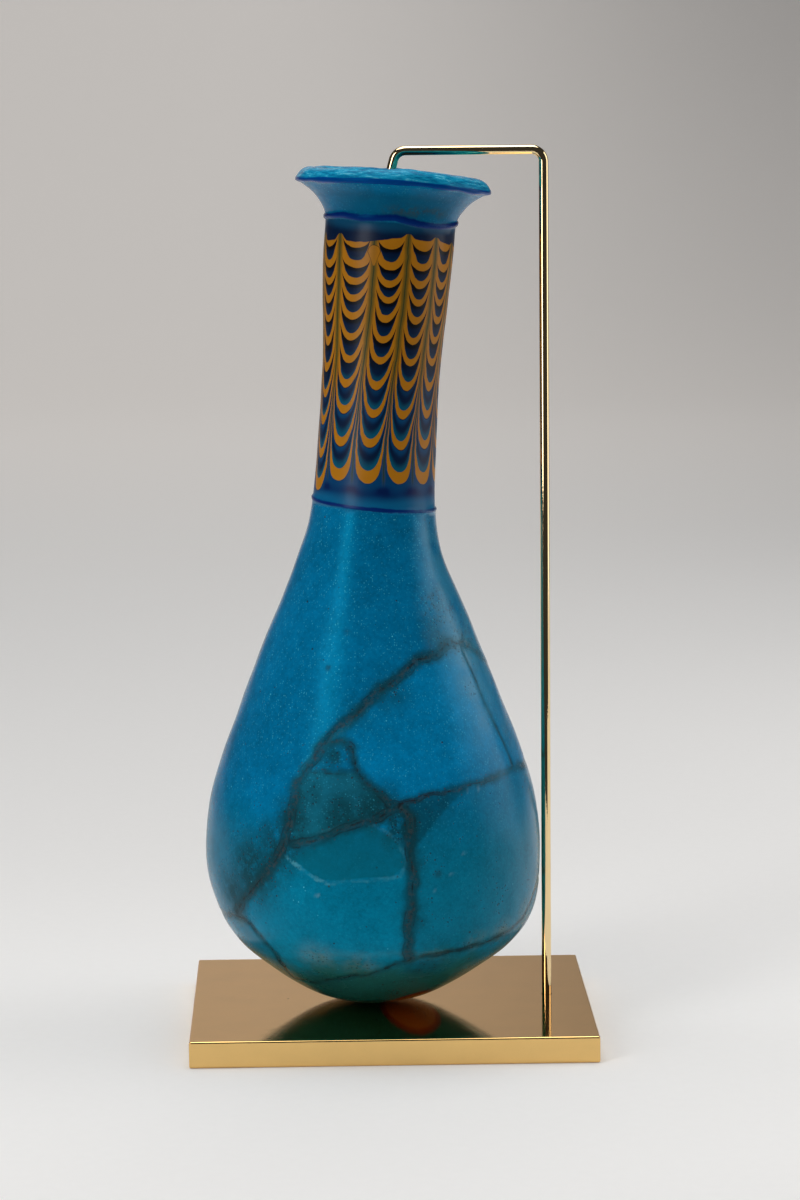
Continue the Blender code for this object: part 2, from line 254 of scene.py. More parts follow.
# How finely the stage is divided: the floor's rings as shares of its reach, the bend's step in degrees, and
# the sides all round
FLOOR_RINGS = (0.0, 0.08, 0.16, 0.28, 0.5, 0.75)
SWEEP_STEP = 6
SWEEP_SIDES = 96

# The three large lights: each one's place, width and height. They face the middle of the bottle.
Light = namedtuple("Light", "place width height")
KEY_LIGHT = Light((-0.74, -0.72, 0.42), 0.36, 0.9)
SIDE_LIGHT = Light((1.05, 0.10, 0.40), 0.8, 0.9)
TOP_LIGHT = Light((-0.05, 0.10, 1.25), 1.1, 0.9)
LIT_PLACE = (0.0, 0.0, 0.11)
ROOM_COLOUR = (0.30, 0.30, 0.31)
ROOM_STRENGTH = 0.12

# How strongly the glass mirrors: the body low down, the body above that, and the neck
LOW_BODY_GLOSS = 0.12
HIGH_BODY_GLOSS = 0.42
NECK_GLOSS = 0.15

# Further colours: the neck's dragged threads and bands, the body's films (partly painted sheen and a painted
# reflection of the brass), dirt and joins, the chip's painted crest highlight, the lip with the painted shade
# under it and its painted highlights, the painted sheen on the body's right side, the painted shade in the
# hollow, and the brass's tarnish
GAP_BLUE = (0.001, 0.058, 0.17)
GAP_TEAL = (0.001, 0.095, 0.17)
GAP_SOOT = (0.0008, 0.0015, 0.004)
FOOT_BLUE = (0.001, 0.052, 0.16)
FLANK_OLIVE = (0.115, 0.088, 0.014)
PINCH_GREEN = (0.017, 0.050, 0.018)
LOOP_LINE = (0.012, 0.010, 0.003)
HEAD_BLUE = (0.004, 0.068, 0.15)
FOOT_BAND = (0.0008, 0.014, 0.085)
FOOT_TURQUOISE = (0.002, 0.12, 0.27)
PALE_FILM_AND_SHEEN = (0.085, 0.190, 0.240)
SANDY_FILM_AND_BRASS_REFLECTION = (0.200, 0.220, 0.140)
BROWN_FILM = (0.048, 0.052, 0.046)
STAIN = (0.005, 0.048, 0.062)
PATCH_OCHRE = (0.42, 0.16, 0.03)
PATCH_EDGE = (0.22, 0.035, 0.012)
BUBBLE = (0.06, 0.52, 0.72)
PALE_SPOT = (0.30, 0.52, 0.62)
PIT = (0.014, 0.020, 0.024)
JOIN_TEAL = (0.003, 0.046, 0.068)
JOIN_GREY = (0.010, 0.052, 0.060)
CRACK = (0.010, 0.013, 0.015)
RUSTY_CRACK = (0.028, 0.013, 0.008)
DARK_SPECK = (0.012, 0.010, 0.008)
BROWN_SPECK = (0.12, 0.055, 0.025)
CHIPPED = (0.003, 0.120, 0.175)
CREST_HIGHLIGHT = (0.11, 0.42, 0.52)
FLARE_DARK = (0.0005, 0.052, 0.125)
FLARE_LIGHT = (0.001, 0.105, 0.200)
FLARE_DIRT = (0.040, 0.048, 0.026)
LIP_DARK = (0.001, 0.130, 0.280)
LIP_LIGHT = (0.010, 0.33, 0.54)
LIP_HIGHLIGHT = (0.22, 0.68, 0.78)
RIM_BLUE = (0.0005, 0.055, 0.260)
RIGHT_PAINTED_SHEEN = (0.050, 0.36, 0.56)
HOLLOW_SHADE = (0.010, 0.060, 0.075)
TARNISH = (0.05, 0.028, 0.012)
ROD_GRAZING = (1.0, 0.93, 0.82)


def colour_setting(name, description, default):
    return FloatVectorProperty(name=name, description=description, subtype="COLOR", size=3, min=0.0, max=1.0,
                               default=default)


def share_setting(name, description, default):
    return FloatProperty(name=name, description=description, subtype="FACTOR", min=0.0, max=1.0,
                         default=default)


class BottleSettings(bpy.types.PropertyGroup):
    """The bottle's colours and the depth of its relief."""

    turquoise: colour_setting("Turquoise", "The body's glass", (0.0005, 0.160, 0.340))
    low_turquoise: colour_setting("Low turquoise", "The body's glass below its widest",
                                  (0.0005, 0.165, 0.285))
    green_glass: colour_setting("Green glass", "The weathered glass under the body", (0.016, 0.130, 0.125))
    sheen: colour_setting("Sheen tint", "The tint of what the glass mirrors head on", (0.0, 0.62, 1.0))
    navy: colour_setting("Navy", "The dark threads between the yellow ones", (0.0008, 0.012, 0.048))
    thread_blue: colour_setting("Thread blue", "The raised threads", (0.001, 0.022, 0.16))
    ochre: colour_setting("Ochre", "The yellow threads", (0.50, 0.195, 0.008))
    mending: colour_setting("Mending", "The old fill in the joins", (0.050, 0.062, 0.062))
    rust: colour_setting("Rust", "The reddish parts of the fill", (0.11, 0.040, 0.020))
    join_depth: FloatProperty(name="Join depth", description="How deep the joins lie", subtype="DISTANCE",
                              unit="LENGTH", min=0.0, max=0.001, default=0.00014)
    lump_height: FloatProperty(name="Lumps", description="How uneven the hot-worked surface is",
                               subtype="DISTANCE", unit="LENGTH", min=0.0, max=0.001, default=0.00030)


class StandSettings(bpy.types.PropertyGroup):
    """The brass stand's finish."""

    brass: colour_setting("Brass", "The polished brass", (0.82, 0.535, 0.20))
    # The rod's brass is made paler than the plate's to stand in for brighter highlights on the rod: partly
    # painted highlight.
    rod_brass_and_highlight: colour_setting("Rod brass", "The rod's paler brass", (0.86, 0.66, 0.36))
    grazing: colour_setting("Grazing tint", "The brass seen along its surface", (0.91, 0.83, 0.81))
    polish: share_setting("Roughness", "How dull the plate's polish is", 0.055)
    edge_round: FloatProperty(name="Edge rounding", description="The plate's softened edges",
                              subtype="DISTANCE", unit="LENGTH", min=0.0, max=0.002, default=0.0005)
    rod_sides: IntProperty(name="Rod sides", description="How many sides the round rod has", min=12, max=96,
                           default=36)


class StageSettings(bpy.types.PropertyGroup):
    """The floor, the backdrop and the light."""

    paper: colour_setting("Paper", "The floor and the backdrop", (0.80, 0.79, 0.775))
    far_paper: colour_setting("Far paper", "The glow of the paper far behind", (0.81, 0.765, 0.725))
    key_power: FloatProperty(name="Key light", description="The large light at the front left",
                             subtype="POWER", unit="POWER", min=0.0, default=4.6)
    side_power: FloatProperty(name="Side light", description="The large light at the right",
                              subtype="POWER", unit="POWER", min=0.0, default=3.8)
    top_power: FloatProperty(name="Top light", description="The large light overhead", subtype="POWER",
                             unit="POWER", min=0.0, default=12.0)


class Value:
    """A number or colour that varies over a surface. An expression on values adds its Math nodes."""

    def __init__(self, finish, socket):
        self.finish = finish
        self.socket = socket

    def __add__(self, other):
        return self.finish.math("ADD", self, other)

    __radd__ = __add__

    def __sub__(self, other):
        return self.finish.math("SUBTRACT", self, other)

    def __rsub__(self, other):
        return self.finish.math("SUBTRACT", other, self)

    def __mul__(self, other):
        return self.finish.math("MULTIPLY", self, other)

    __rmul__ = __mul__

    def __truediv__(self, other):
        return self.finish.math("DIVIDE", self, other)

    def __rtruediv__(self, other):
        return self.finish.math("DIVIDE", other, self)

    def __pow__(self, other):
        return self.finish.math("POWER", self, other)

    def __neg__(self):
        return self.finish.math("MULTIPLY", self, -1.0)

    def __lt__(self, other):
        return self.finish.math("LESS_THAN", self, other)


class Finish:
    """A material, and the few ways in which its nodes are added."""

    def __init__(self, name):
        self.material = bpy.data.materials.new(name)
        self.material.use_nodes = True
        self.tree = self.material.node_tree
        self.tree.nodes.clear()

    def node(self, kind, settings=None, values=None, output=0):
        """Adds a node: first its settings, then what its sockets take. Gives one of its outputs."""
        made = self.tree.nodes.new(kind)
        for name, setting in (settings or {}).items():
            setattr(made, name, setting)
        for name, value in (values or {}).items():
            if isinstance(value, Value):
                self.tree.links.new(value.socket, made.inputs[name])
            elif made.inputs[name].type == "RGBA":
                made.inputs[name].default_value = (*value, 1.0)
            else:
                made.inputs[name].default_value = value
        return Value(self, made.outputs[output]) if made.outputs else None

    def math(self, operation, *numbers):
        return self.node("ShaderNodeMath", {"operation": operation}, dict(enumerate(numbers)))

    def least(self, first, *others):
        for other in others:
            first = self.math("MINIMUM", first, other)
        return first

    def most(self, first, *others):
        for other in others:
            first = self.math("MAXIMUM", first, other)
        return first

    def share(self, value):
        """The value, kept from 0 to 1."""
        return self.least(self.most(value, 0.0), 1.0)

    def rise(self, value, low, high):
        """Goes smoothly from 0 where the value is low to 1 where it is high."""
        return self.node("ShaderNodeMapRange", {"interpolation_type": "SMOOTHSTEP"},
                         {"Value": value, "From Min": low, "From Max": high})

    def fall(self, value, low, high):
        return 1.0 - self.rise(value, low, high)

    def band(self, value, low, high, soft):
        """1 between low and high, with edges this soft."""
        return self.rise(value, low - soft, low + soft) * self.fall(value, high - soft, high + soft)

    def mix(self, share, first, second):
        """The first colour where the share is 0 and the second where it is 1."""
        return self.node("ShaderNodeMix", {"data_type": "RGBA"}, {0: share, 6: first, 7: second}, 2)

    def brighten(self, colour, amount):
        """The colour times a number."""
        return self.node("ShaderNodeVectorMath", {"operation": "SCALE"}, {0: colour, "Scale": amount})

    def attribute(self, name, output="Fac"):
        return self.node("ShaderNodeAttribute", {"attribute_name": name}, None, output)

    def scaled(self, vector, amount):
        return self.node("ShaderNodeVectorMath", {"operation": "MULTIPLY"}, {0: vector, 1: amount})

    def parts(self, vector):
        """How far across, deep and up a place lies."""
        split = self.node("ShaderNodeSeparateXYZ", None, {0: vector}).socket.node
        return [Value(self, output) for output in split.outputs]

    def noise(self, vector, size, detail=2.0, roughness=0.5):
        """Cloudy noise with features of this size, from 0 to 1 around a half."""
        return self.node("ShaderNodeTexNoise", None, {"Vector": vector, "Scale": 1.0 / size, "Detail": detail,
                                                      "Roughness": roughness})

    def cells(self, vector, size, output="Distance"):
        return self.node("ShaderNodeTexVoronoi", None, {"Vector": vector, "Scale": 1.0 / size}, output)

    def specks(self, vector, size, reach, kept):
        """Round specks, one in a cell of this size at most: reach is their radius in cells, and kept the
        share of the cells that has one."""
        chance = self.node("ShaderNodeSeparateColor", None, {0: self.cells(vector, size, "Color")})
        return self.fall(self.cells(vector, size), reach * 0.5, reach) * (chance < kept)

    def bump(self, height, depth):
        """A normal from a height between 0 and 1, which stands for this depth in metres."""
        return self.node("ShaderNodeBump", None, {"Height": height, "Distance": depth, "Strength": 1.0})

    def shader(self, values):
        """Ends the material in a Principled BSDF with these values."""
        surface = self.node("ShaderNodeBsdfPrincipled", None, values)
        self.node("ShaderNodeOutputMaterial", None, {"Surface": surface})
        return self.material


def deselect():
    bpy.ops.object.select_all(action="DESELECT")


def start_piece(name):
    """The newly added primitive, named, in edit mode with all of it selected."""
    piece = bpy.context.object
    piece.name = name
    piece.data.name = name
    bpy.ops.object.mode_set(mode="EDIT")
    bpy.ops.mesh.select_all(action="SELECT")
    return piece


def settle(piece, node, finish):
    """Puts a finished piece in its CAD node's place."""
    piece.data.materials.clear()
    piece.data.materials.append(finish)
    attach(piece, "root")
    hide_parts(node)


def reshape(piece, name, kind, **settings):
    """Adds a modifier with these settings to the active piece and applies it."""
    modifier = piece.modifiers.new(name, kind)
    for setting, value in settings.items():
        setattr(modifier, setting, value)
    bpy.ops.object.modifier_apply(modifier=modifier.name)


def turned_piece(name, points, steps):
    """A profile, extruded point by point from the axis, spun round the Z axis and closed at its poles."""
    deselect()
    bpy.ops.mesh.primitive_plane_add(size=MM)
    piece = start_piece(name)
    bpy.ops.mesh.merge(type="CENTER")
    bpy.ops.transform.translate(value=(points[0].x, 0.0, points[0].y))
    for here, after in zip(points, points[1:]):
        step = after - here
        bpy.ops.mesh.extrude_region_move(TRANSFORM_OT_translate={"value": (step.x, 0.0, step.y)})
    bpy.ops.object.mode_set(mode="OBJECT")
    for vertex in piece.data.vertices:
        if vertex.co.x < POLE_REACH:
            vertex.co.x = 0.0
    reshape(piece, "Turn", "SCREW", steps=steps, render_steps=steps, use_merge_vertices=True,
            merge_threshold=MERGE_DISTANCE)
    bpy.ops.object.mode_set(mode="EDIT")
    bpy.ops.mesh.select_all(action="SELECT")
    bpy.ops.mesh.normals_make_consistent(inside=False)
    bpy.ops.object.mode_set(mode="OBJECT")
    bpy.ops.object.shade_smooth()
    return piece


def smooth_curve(points, steps):
    """Points on a smooth curve through the given ones. The first lies on the axis, and the curve leaves the
    axis square to it."""
    before = (-points[1][0], points[1][1])
    last, inner = points[-1], points[-2]
    after = (2 * last[0] - inner[0], 2 * last[1] - inner[1])
    path = [Vector(p) for p in (before, *points, after)]
    found = []
    for a, b, c, d in zip(path, path[1:], path[2:], path[3:]):
        t1 = (b - a).length ** 0.5
        t2 = t1 + (c - b).length ** 0.5
        t3 = t2 + (d - c).length ** 0.5
        for step in range(steps):
            t = t1 + (t2 - t1) * step / steps
            ab = a.lerp(b, t / t1)
            bc = b.lerp(c, (t - t1) / (t2 - t1))
            cd = c.lerp(d, (t - t2) / (t3 - t2))
            abc = ab.lerp(bc, t / t2)
            bcd = bc.lerp(cd, (t - t1) / (t3 - t1))
            found.append(abc.lerp(bcd, (t - t1) / (t2 - t1)))
    found.append(path[-2])
    return found


def outline_points():
    """The outside from the bottom to the lip's edge, and over the lip down the throat."""
    rise = NECK_FOOT_HEIGHT - BELLY_HEIGHT
    reach = BELLY_RADIUS - NECK_FOOT_RADIUS
    overhang = LIP_RADIUS - NECK_HEAD_RADIUS
    inwards = LIP_RADIUS - (NECK_HEAD_RADIUS - NECK_WALL)
    lower = [(out * BELLY_RADIUS, up * BELLY_HEIGHT) for up, out in LOWER_BODY]
    upper = [(NECK_FOOT_RADIUS + out * reach, BELLY_HEIGHT + up * rise) for up, out in UPPER_BODY]
    neck = [(NECK_FOOT_RADIUS, NECK_FOOT_HEIGHT),
            (NECK_WAIST_RADIUS, NECK_FOOT_HEIGHT + WAIST_FROM * NECK_LENGTH),
            (NECK_WAIST_RADIUS, NECK_FOOT_HEIGHT + WAIST_TO * NECK_LENGTH),
            (NECK_HEAD_RADIUS, NECK_FOOT_HEIGHT + HEAD_FROM * NECK_LENGTH),
            (NECK_HEAD_RADIUS, NECK_HEAD_HEIGHT)]
    flare = [(NECK_HEAD_RADIUS + out * overhang, NECK_HEAD_HEIGHT + up * FLARE_HEIGHT) for up, out in FLARE]
    lip = [(LIP_RADIUS - way * inwards, LIP_HEIGHT + up * LIP_CREST) for way, up in LIP_TOP]
    throat = [(LIP_RADIUS - way * inwards, LIP_HEIGHT - down * FLARE_HEIGHT) for way, down in THROAT]
    return lower + upper + neck + flare + [(LIP_RADIUS, LIP_HEIGHT)] + lip + throat


def wall_at(height):
    share = (height - BELLY_HEIGHT) / (NECK_FOOT_HEIGHT - BELLY_HEIGHT)
    return BODY_WALL + (NECK_WALL - BODY_WALL) * min(max(share, 0.0), 1.0)


def row_distance(point, inside):
    """How far apart the rows lie at this point of the section."""
    if inside:
        return INSIDE_ROW
    if min(abs(point.y - middle) for middle in THREAD_MIDDLES) < THREAD_ROWS_REACH:
        return THREAD_ROW
    if point.y < NECK_FOOT_HEIGHT:
        return BODY_ROW
    return NECK_ROW if point.y < NECK_HEAD_HEIGHT else FLARE_ROW


def thinned(points, inside):
    """The curve's points, thinned to the distances that its rows need."""
    kept, run = [points[0]], 0.0
    for before, here in zip(points, points[1:-1]):
        run += (here - before).length / row_distance(here, inside)
        if run >= 1.0:
            kept.append(here)
            run -= 1.0
    return kept + [points[-1]]


def bottle_section():
    """The whole section: up the outside from the bottom, over the lip and down the inside. Given with the
    outside's radius by height, up to the neck's head."""
    outside = smooth_curve(outline_points(), CURVE_STEPS)
    plain = [p for p in outside if p.y < NECK_HEAD_HEIGHT and p.x > 0.0]
    inner = []
    for before, here, after in zip(plain, plain[1:], plain[2:]):
        along = (after - before).normalized()
        inner.append(here + Vector((-along.y, along.x)) * wall_at(here.y))
    inner = [Vector((0.0, BODY_WALL))] + [p for p in inner if p.x > BODY_WALL * 0.5]
    section = thinned(outside, False) + list(reversed(thinned(inner, True)))
    return section, plain


def axis_at(heights):
    """The axis's places across and up at these distances along it, and how far it leans there."""
    across, up, lean = np.zeros_like(heights), np.zeros_like(heights), np.zeros_like(heights)
    left = heights.copy()
    neck_run = LIP_HEIGHT - LEAN_START - LEAN_LENGTH
    for length, turn in ((LEAN_START, 0.0), (LEAN_LENGTH, NECK_LEAN), (neck_run, NECK_CURVE)):
        step = np.minimum(left, length)
        half = turn * step / length / 2
        chord = step * np.sinc(half / np.pi)
        across += chord * np.sin(lean + half)
        up += chord * np.cos(lean + half)
        lean += 2 * half
        left -= step
    return across + left * np.sin(lean), up + left * np.cos(lean), lean


def leaned(x, y, height):
    """The upright bottle's points, moved to where the leaning neck and the uneven rim carry them."""
    share = np.clip((height - NECK_HEAD_HEIGHT) / FLARE_HEIGHT, 0.0, 1.0)
    rim_rise = np.where(y > 0.0, RIM_BACK_RISE, RIM_FRONT_RISE)
    height = height + share * rim_rise * np.sin(np.arctan2(y, x)) ** 2
    low = height < BELLY_HEIGHT
    x = x + np.where(low, LOW_BULGE * np.sin(np.pi * height / BELLY_HEIGHT) ** 2, 0.0)
    across, up, lean = axis_at(height)
    return np.stack([across + x * np.cos(lean), y, up - x * np.sin(lean)], axis=1)


def smoothstep(low, high, value):
    share = np.clip((value - low) / (high - low), 0.0, 1.0)
    return share * share * (3 - 2 * share)


def lumps(points, size, seed):
    """Smooth noise from -1 to 1 at each point, with features of this size in mm."""
    shift = Vector((seed * 17.3, seed * 5.1, seed * 11.7))
    return np.array([noise.noise(Vector(p) / size + shift) for p in points])


class Surface:
    """The upright bottle's outer skin in mm: where each vertex is, round and up."""

    def __init__(self, places, plain_outside):
        self.places = places
        self.height = places[:, 2]
        self.radius = np.hypot(places[:, 0], places[:, 1])
        self.turn = np.degrees(np.arctan2(places[:, 0], -places[:, 1]))
        self.rows = np.array([(p.y, p.x) for p in plain_outside]) / MM
        wall = np.interp(self.height, (BELLY_HEIGHT / MM, NECK_FOOT_HEIGHT / MM),
                         (BODY_WALL / MM, NECK_WALL / MM))
        outside = np.interp(self.height, self.rows[:, 0], self.rows[:, 1])
        under_rim = self.height < NECK_HEAD_HEIGHT / MM - 0.5
        self.inner = under_rim & (self.radius < outside - wall / 2)

    def on_skin(self, turn, height):
        """The place on the skin at this turn and height."""
        radius = np.interp(height, self.rows[:, 0], self.rows[:, 1])
        angle = np.radians(turn)
        return np.stack([radius * np.sin(angle), -radius * np.cos(angle), height], axis=1)

    def line(self, path):
        """A path of (turn, height) points as places on the skin, close together."""
        corners = np.array(path, float)
        reach = np.hypot(np.radians(np.diff(corners[:, 0])) * BELLY_RADIUS / MM, np.diff(corners[:, 1]))
        along = np.concatenate([[0.0], np.cumsum(reach)])
        steps = np.arange(0.0, along[-1], LINE_STEP)
        turn = np.interp(steps, along, corners[:, 0])
        height = np.interp(steps, along, corners[:, 1])
        wander = np.array([noise.noise(Vector((s / 4.3, corners[0, 0], 0.0))) for s in steps])
        return self.on_skin(turn + 0.7 * wander, height + 0.5 * np.roll(wander, 7))

    def distance_to(self, line):
        """Each vertex's distance in mm from the nearest of the line's places."""
        nearest = np.full(len(self.places), OUT_OF_REACH)
        low, high = line.min(0) - LINE_REACH, line.max(0) + LINE_REACH
        close = np.where(((self.places > low) & (self.places < high)).all(1) & ~self.inner)[0]
        for chunk in np.array_split(close, max(1, len(close) // 4000)):
            apart = self.places[chunk][:, None, :] - line[None, :, :]
            nearest[chunk] = np.sqrt((apart ** 2).sum(2).min(1))
        return nearest

    def inside_of(self, outline):
        """Which vertices lie within an outline of (turn, height) corners, the turns counted past 180."""
        within = np.zeros(len(self.places), bool)
        for turns in (self.turn, self.turn + 360.0):
            odd = np.zeros(len(self.places), bool)
            for (t1, h1), (t2, h2) in zip(outline, outline[1:] + outline[:1]):
                if h1 == h2:
                    continue
                crossing = (self.height < h1) != (self.height < h2)
                odd ^= crossing & (turns < (t2 - t1) * (self.height - h1) / (h2 - h1) + t1)
            within |= odd
        return within & ~self.inner

    def depth_in(self, outline):
        """How far inside the outline each vertex lies in mm, and below 0 outside it."""
        edge = self.distance_to(self.line(outline + outline[:1]))
        return np.where(self.inside_of(outline), edge, -edge)

    def from_thread(self, thread):
        """Each vertex's height above the middle of a thread, in mm."""
        path = np.array(thread.path, float)
        return self.height - np.interp(self.turn, path[:, 0], path[:, 1])


def glass_relief(surface, settings):
    """How far each vertex moves out along its normal in mm, and the attributes that the material reads."""
    marks = {}
    outer = ~surface.inner
    push = np.zeros(len(surface.places))

    settled = smoothstep(4.0, 20.0, surface.height)
    uneven = 0.62 * lumps(surface.places, 19.0, 1) + 0.38 * lumps(surface.places, 7.5, 2)
    push += settings.lump_height / MM * (uneven - 0.75) * settled * outer
    rim = smoothstep(205.0, 208.0, surface.height)
    push += 0.40 * rim * (lumps(surface.places, 6.0, 3) - 0.2)

    for name, thread in THREADS.items():
        above = surface.from_thread(thread)
        width = thread.half_width * (1.0 + 0.25 * lumps(surface.places, 8.0, 4))
        share = np.clip(1.0 - (above / width) ** 2, 0.0, 1.0)
        on_rim = surface.radius > LIP_RADIUS / MM * 0.93 if thread is RIM_THREAD else outer
        push += thread.rise * np.sqrt(share) * on_rim
        marks[name] = np.where(on_rim, np.abs(above) - width, OFF_MARK)

    light, green = np.zeros(len(push)), np.zeros(len(push))
    for fragment in FRAGMENTS:
        depth = surface.depth_in(fragment.outline)
        share = smoothstep(-0.5, 0.5, depth)
        light += fragment.light * share
        green += fragment.green * share
        push -= fragment.back * share

    chip = np.full(len(push), -OFF_MARK)
    for outline, depth in CHIPS:
        inside = surface.depth_in(outline)
        push -= depth * smoothstep(-0.3, 2.6, inside)
        chip = np.maximum(chip, inside)

    join, crack = np.full(len(push), OFF_MARK), np.full(len(push), OFF_MARK)
    rust = np.zeros(len(push))
    ragged = lumps(surface.places, 3.4, 5)
    for seam in JOINS:
        away = surface.distance_to(surface.line(seam.path))
        from_edge = away - seam.half_width * (1.0 + 0.3 * ragged)
        rust = np.where(from_edge < join, seam.rust, rust)
        join = np.minimum(join, from_edge)
        crack = np.minimum(crack, away)
    push -= settings.join_depth / MM * (1.0 - smoothstep(-1.2, 0.6, join)) * (0.8 + 0.4 * ragged)
    push -= 0.4 * settings.join_depth / MM * (1.0 - smoothstep(0.1, 0.7, crack))

    for name, patches in (("stain", STAINS), ("film_and_reflection", FILMS_AND_REFLECTIONS)):
        mark = np.zeros(len(push))
        for turn, height, radius, strength in patches:
            away = np.linalg.norm(surface.places - surface.on_skin([turn], [height]), axis=1)
            mark = np.maximum(mark, strength * (1.0 - smoothstep(0.0, radius, away)))
        marks[name] = mark * outer

    spot = np.zeros(len(push))
    for turn, height, radius, tone in SPOTS:
        away = surface.distance_to(surface.on_skin([turn], [height]))
        spot += tone * (1.0 - smoothstep(0.2 * radius, radius, away))

    across = (surface.places[:, 0] - OCHRE_MIDDLE[0]) / OCHRE_REACH[0]
    deep = (surface.places[:, 1] - OCHRE_MIDDLE[1]) / OCHRE_REACH[1]
    inside = OCHRE_REACH[0] * (1.0 - np.hypot(across, deep))
    marks["ochre_patch"] = np.where((surface.height < OCHRE_TOP) & outer, inside, -OFF_MARK)
    marks.update(spot=spot, light=light, green=green, chip=chip, join=join, crack=crack, rust=rust,
                 crest=surface.distance_to(surface.line(CREST)),
                 hollow=surface.inner.astype(float))
    return push, marks


def make_bottle(settings):
    """The bottle: its section turned, its surface moved, and then leaned."""
    section, plain = bottle_section()
    piece = turned_piece("glass_bottle", section, STEPS_ROUND)
    mesh = piece.data
    count = len(mesh.vertices)
    flat = np.zeros(count * 3)
    mesh.vertices.foreach_get("co", flat)
    places = flat.reshape(-1, 3)
    turn = np.arctan2(places[:, 0], -places[:, 1])
    turn = turn - FRONT_CROWDING * np.sin(turn)
    radius = np.hypot(places[:, 0], places[:, 1])
    places = np.stack([radius * np.sin(turn), -radius * np.cos(turn), places[:, 2]], axis=1)
    mesh.vertices.foreach_set("co", places.ravel())
    mesh.update()
    normals = np.array([n.vector for n in mesh.vertex_normals])

    surface = Surface(places / MM, plain)
    push, marks = glass_relief(surface, settings)
    moved = places + normals * (push * MM)[:, None]
    foot = np.array([bottle_low.x + BELLY_RADIUS, bottle_low.y + BELLY_RADIUS, bottle_low.z])
    final = leaned(*moved.T) + foot
    mesh.vertices.foreach_set("co", final.ravel())
    upright = mesh.attributes.new("upright", "FLOAT_VECTOR", "POINT")
    upright.data.foreach_set("vector", (places / MM).ravel())
    for name, values in marks.items():
        mesh.attributes.new(name, "FLOAT", "POINT").data.foreach_set("value", values)
    mesh.update()
    settle(piece, "bottle", glass_finish(settings))


def dragged_threads(f, turn, height):
    """Where a place lies among the dragged threads: its number counted down from the first thread, how far
    apart they stand there, and the square of its way from its column's middle to a pinch."""
    drop = SWAG_TOP - height
    drift = (4.3 + 5.2 * f.rise(turn, -50.0, -14.0) * f.fall(turn, 8.0, 110.0)) * f.rise(height, 140.0, 184.0)
    column = (turn - drift - PINCH_TURN) * (SWAG_COLUMNS / 360.0)
    off_middle = 2.0 * f.math("FRACT", column) - 1.0
    square = off_middle * off_middle
    drag = 2.3 + 2.5 * f.rise(drop, -2.0, 8.0) + 1.8 * f.rise(drop, 12.0, 36.0)
    drag = drag - 3.3 * f.rise(drop, 36.0, 54.0)
    pulled = drop + 0.8 * f.fall(drop, -5.0, -1.0) + drag * square / f.most(1.0 - square, 0.004) ** 0.5

    # The number k solves pitch * k + growth * k^3 = pulled
    third = SWAG_PITCH / SWAG_PITCH_GROWTH / 3
    half = pulled * (0.5 / SWAG_PITCH_GROWTH)
    root = (half + (half * half + third ** 3) ** 0.5) ** (1 / 3)
    number = root - third / root
    return number, SWAG_PITCH + 3 * SWAG_PITCH_GROWTH * number * number, square


def swags(f, turn, height, settings):
    """The colours of the dragged threads, from the last one up to the band's foot."""
    number, pitch, square = dragged_threads(f, turn, height)
    low = f.fall(height, 151.5, 170.5)
    width = 1.7 + 0.4 * low + 1.0 * f.rise(number, 7.9, 8.2)
    closing = (1.0 - low) * f.least(square ** 1.75 / 0.42, 1.0) + 0.18 * low * square
    gap = (1.0 - width / pitch) * (1.0 - closing)
    below = number - f.math("FLOOR", number)
    share = below / f.most(gap, 0.02)
    from_edge = (below - gap) * pitch

    colour = f.mix(low * f.fall(share, 0.05, 0.45), settings.navy, GAP_BLUE)
    teal = f.rise(share, 0.62 - 0.1 * low, 0.95) * (0.15 + 0.85 * low)
    colour = f.mix(teal, colour, GAP_TEAL)
    soot = (1.0 - low) * f.fall(share - 1.1 * square, 0.15, 0.5)
    soot = f.most(soot, 0.8 * f.fall(below * pitch, 0.15, 0.45))
    colour = f.mix(soot, colour, GAP_SOOT)
    yellow = f.most(f.rise(from_edge, -0.08, 0.08), f.fall(below * pitch, 0.02, 0.10))
    colour = f.mix(yellow * f.fall(number, 8.98, 9.0), colour, settings.ochre)

    past_last = f.rise(number, LAST_THREAD, LAST_THREAD + 0.02)
    colour = f.mix(past_last, colour, FOOT_BLUE)
    flank = f.rise(square, 0.48 + 0.2 * low, 0.84 + 0.1 * low) * (1.0 - 0.6 * low)
    colour = f.mix(0.85 * flank, colour, FLANK_OLIVE)
    core = f.rise(square, 0.88, 0.97) * f.rise(number, -1.0, 0.5)
    return f.mix(0.8 * core, colour, PINCH_GREEN), number, square


def loop_outline(f, turn, height):
    """How far a place is from the outline of the drop-shaped loop, below 0 inside it, in mm."""
    across = (turn - LOOP_TURN) * math.radians(NECK_HEAD_RADIUS / MM)
    up = height - LOOP_HEIGHT
    narrowing = f.most(1.0 + 0.27 * f.least(up, 0.0), 0.10)
    above = f.most(up, 0.0)
    across = f.math("ABSOLUTE", across / narrowing)
    return (across * across + above * above) ** 0.5 - LOOP_RADIUS + 9.0 * f.fall(up, -3.3, -3.2)


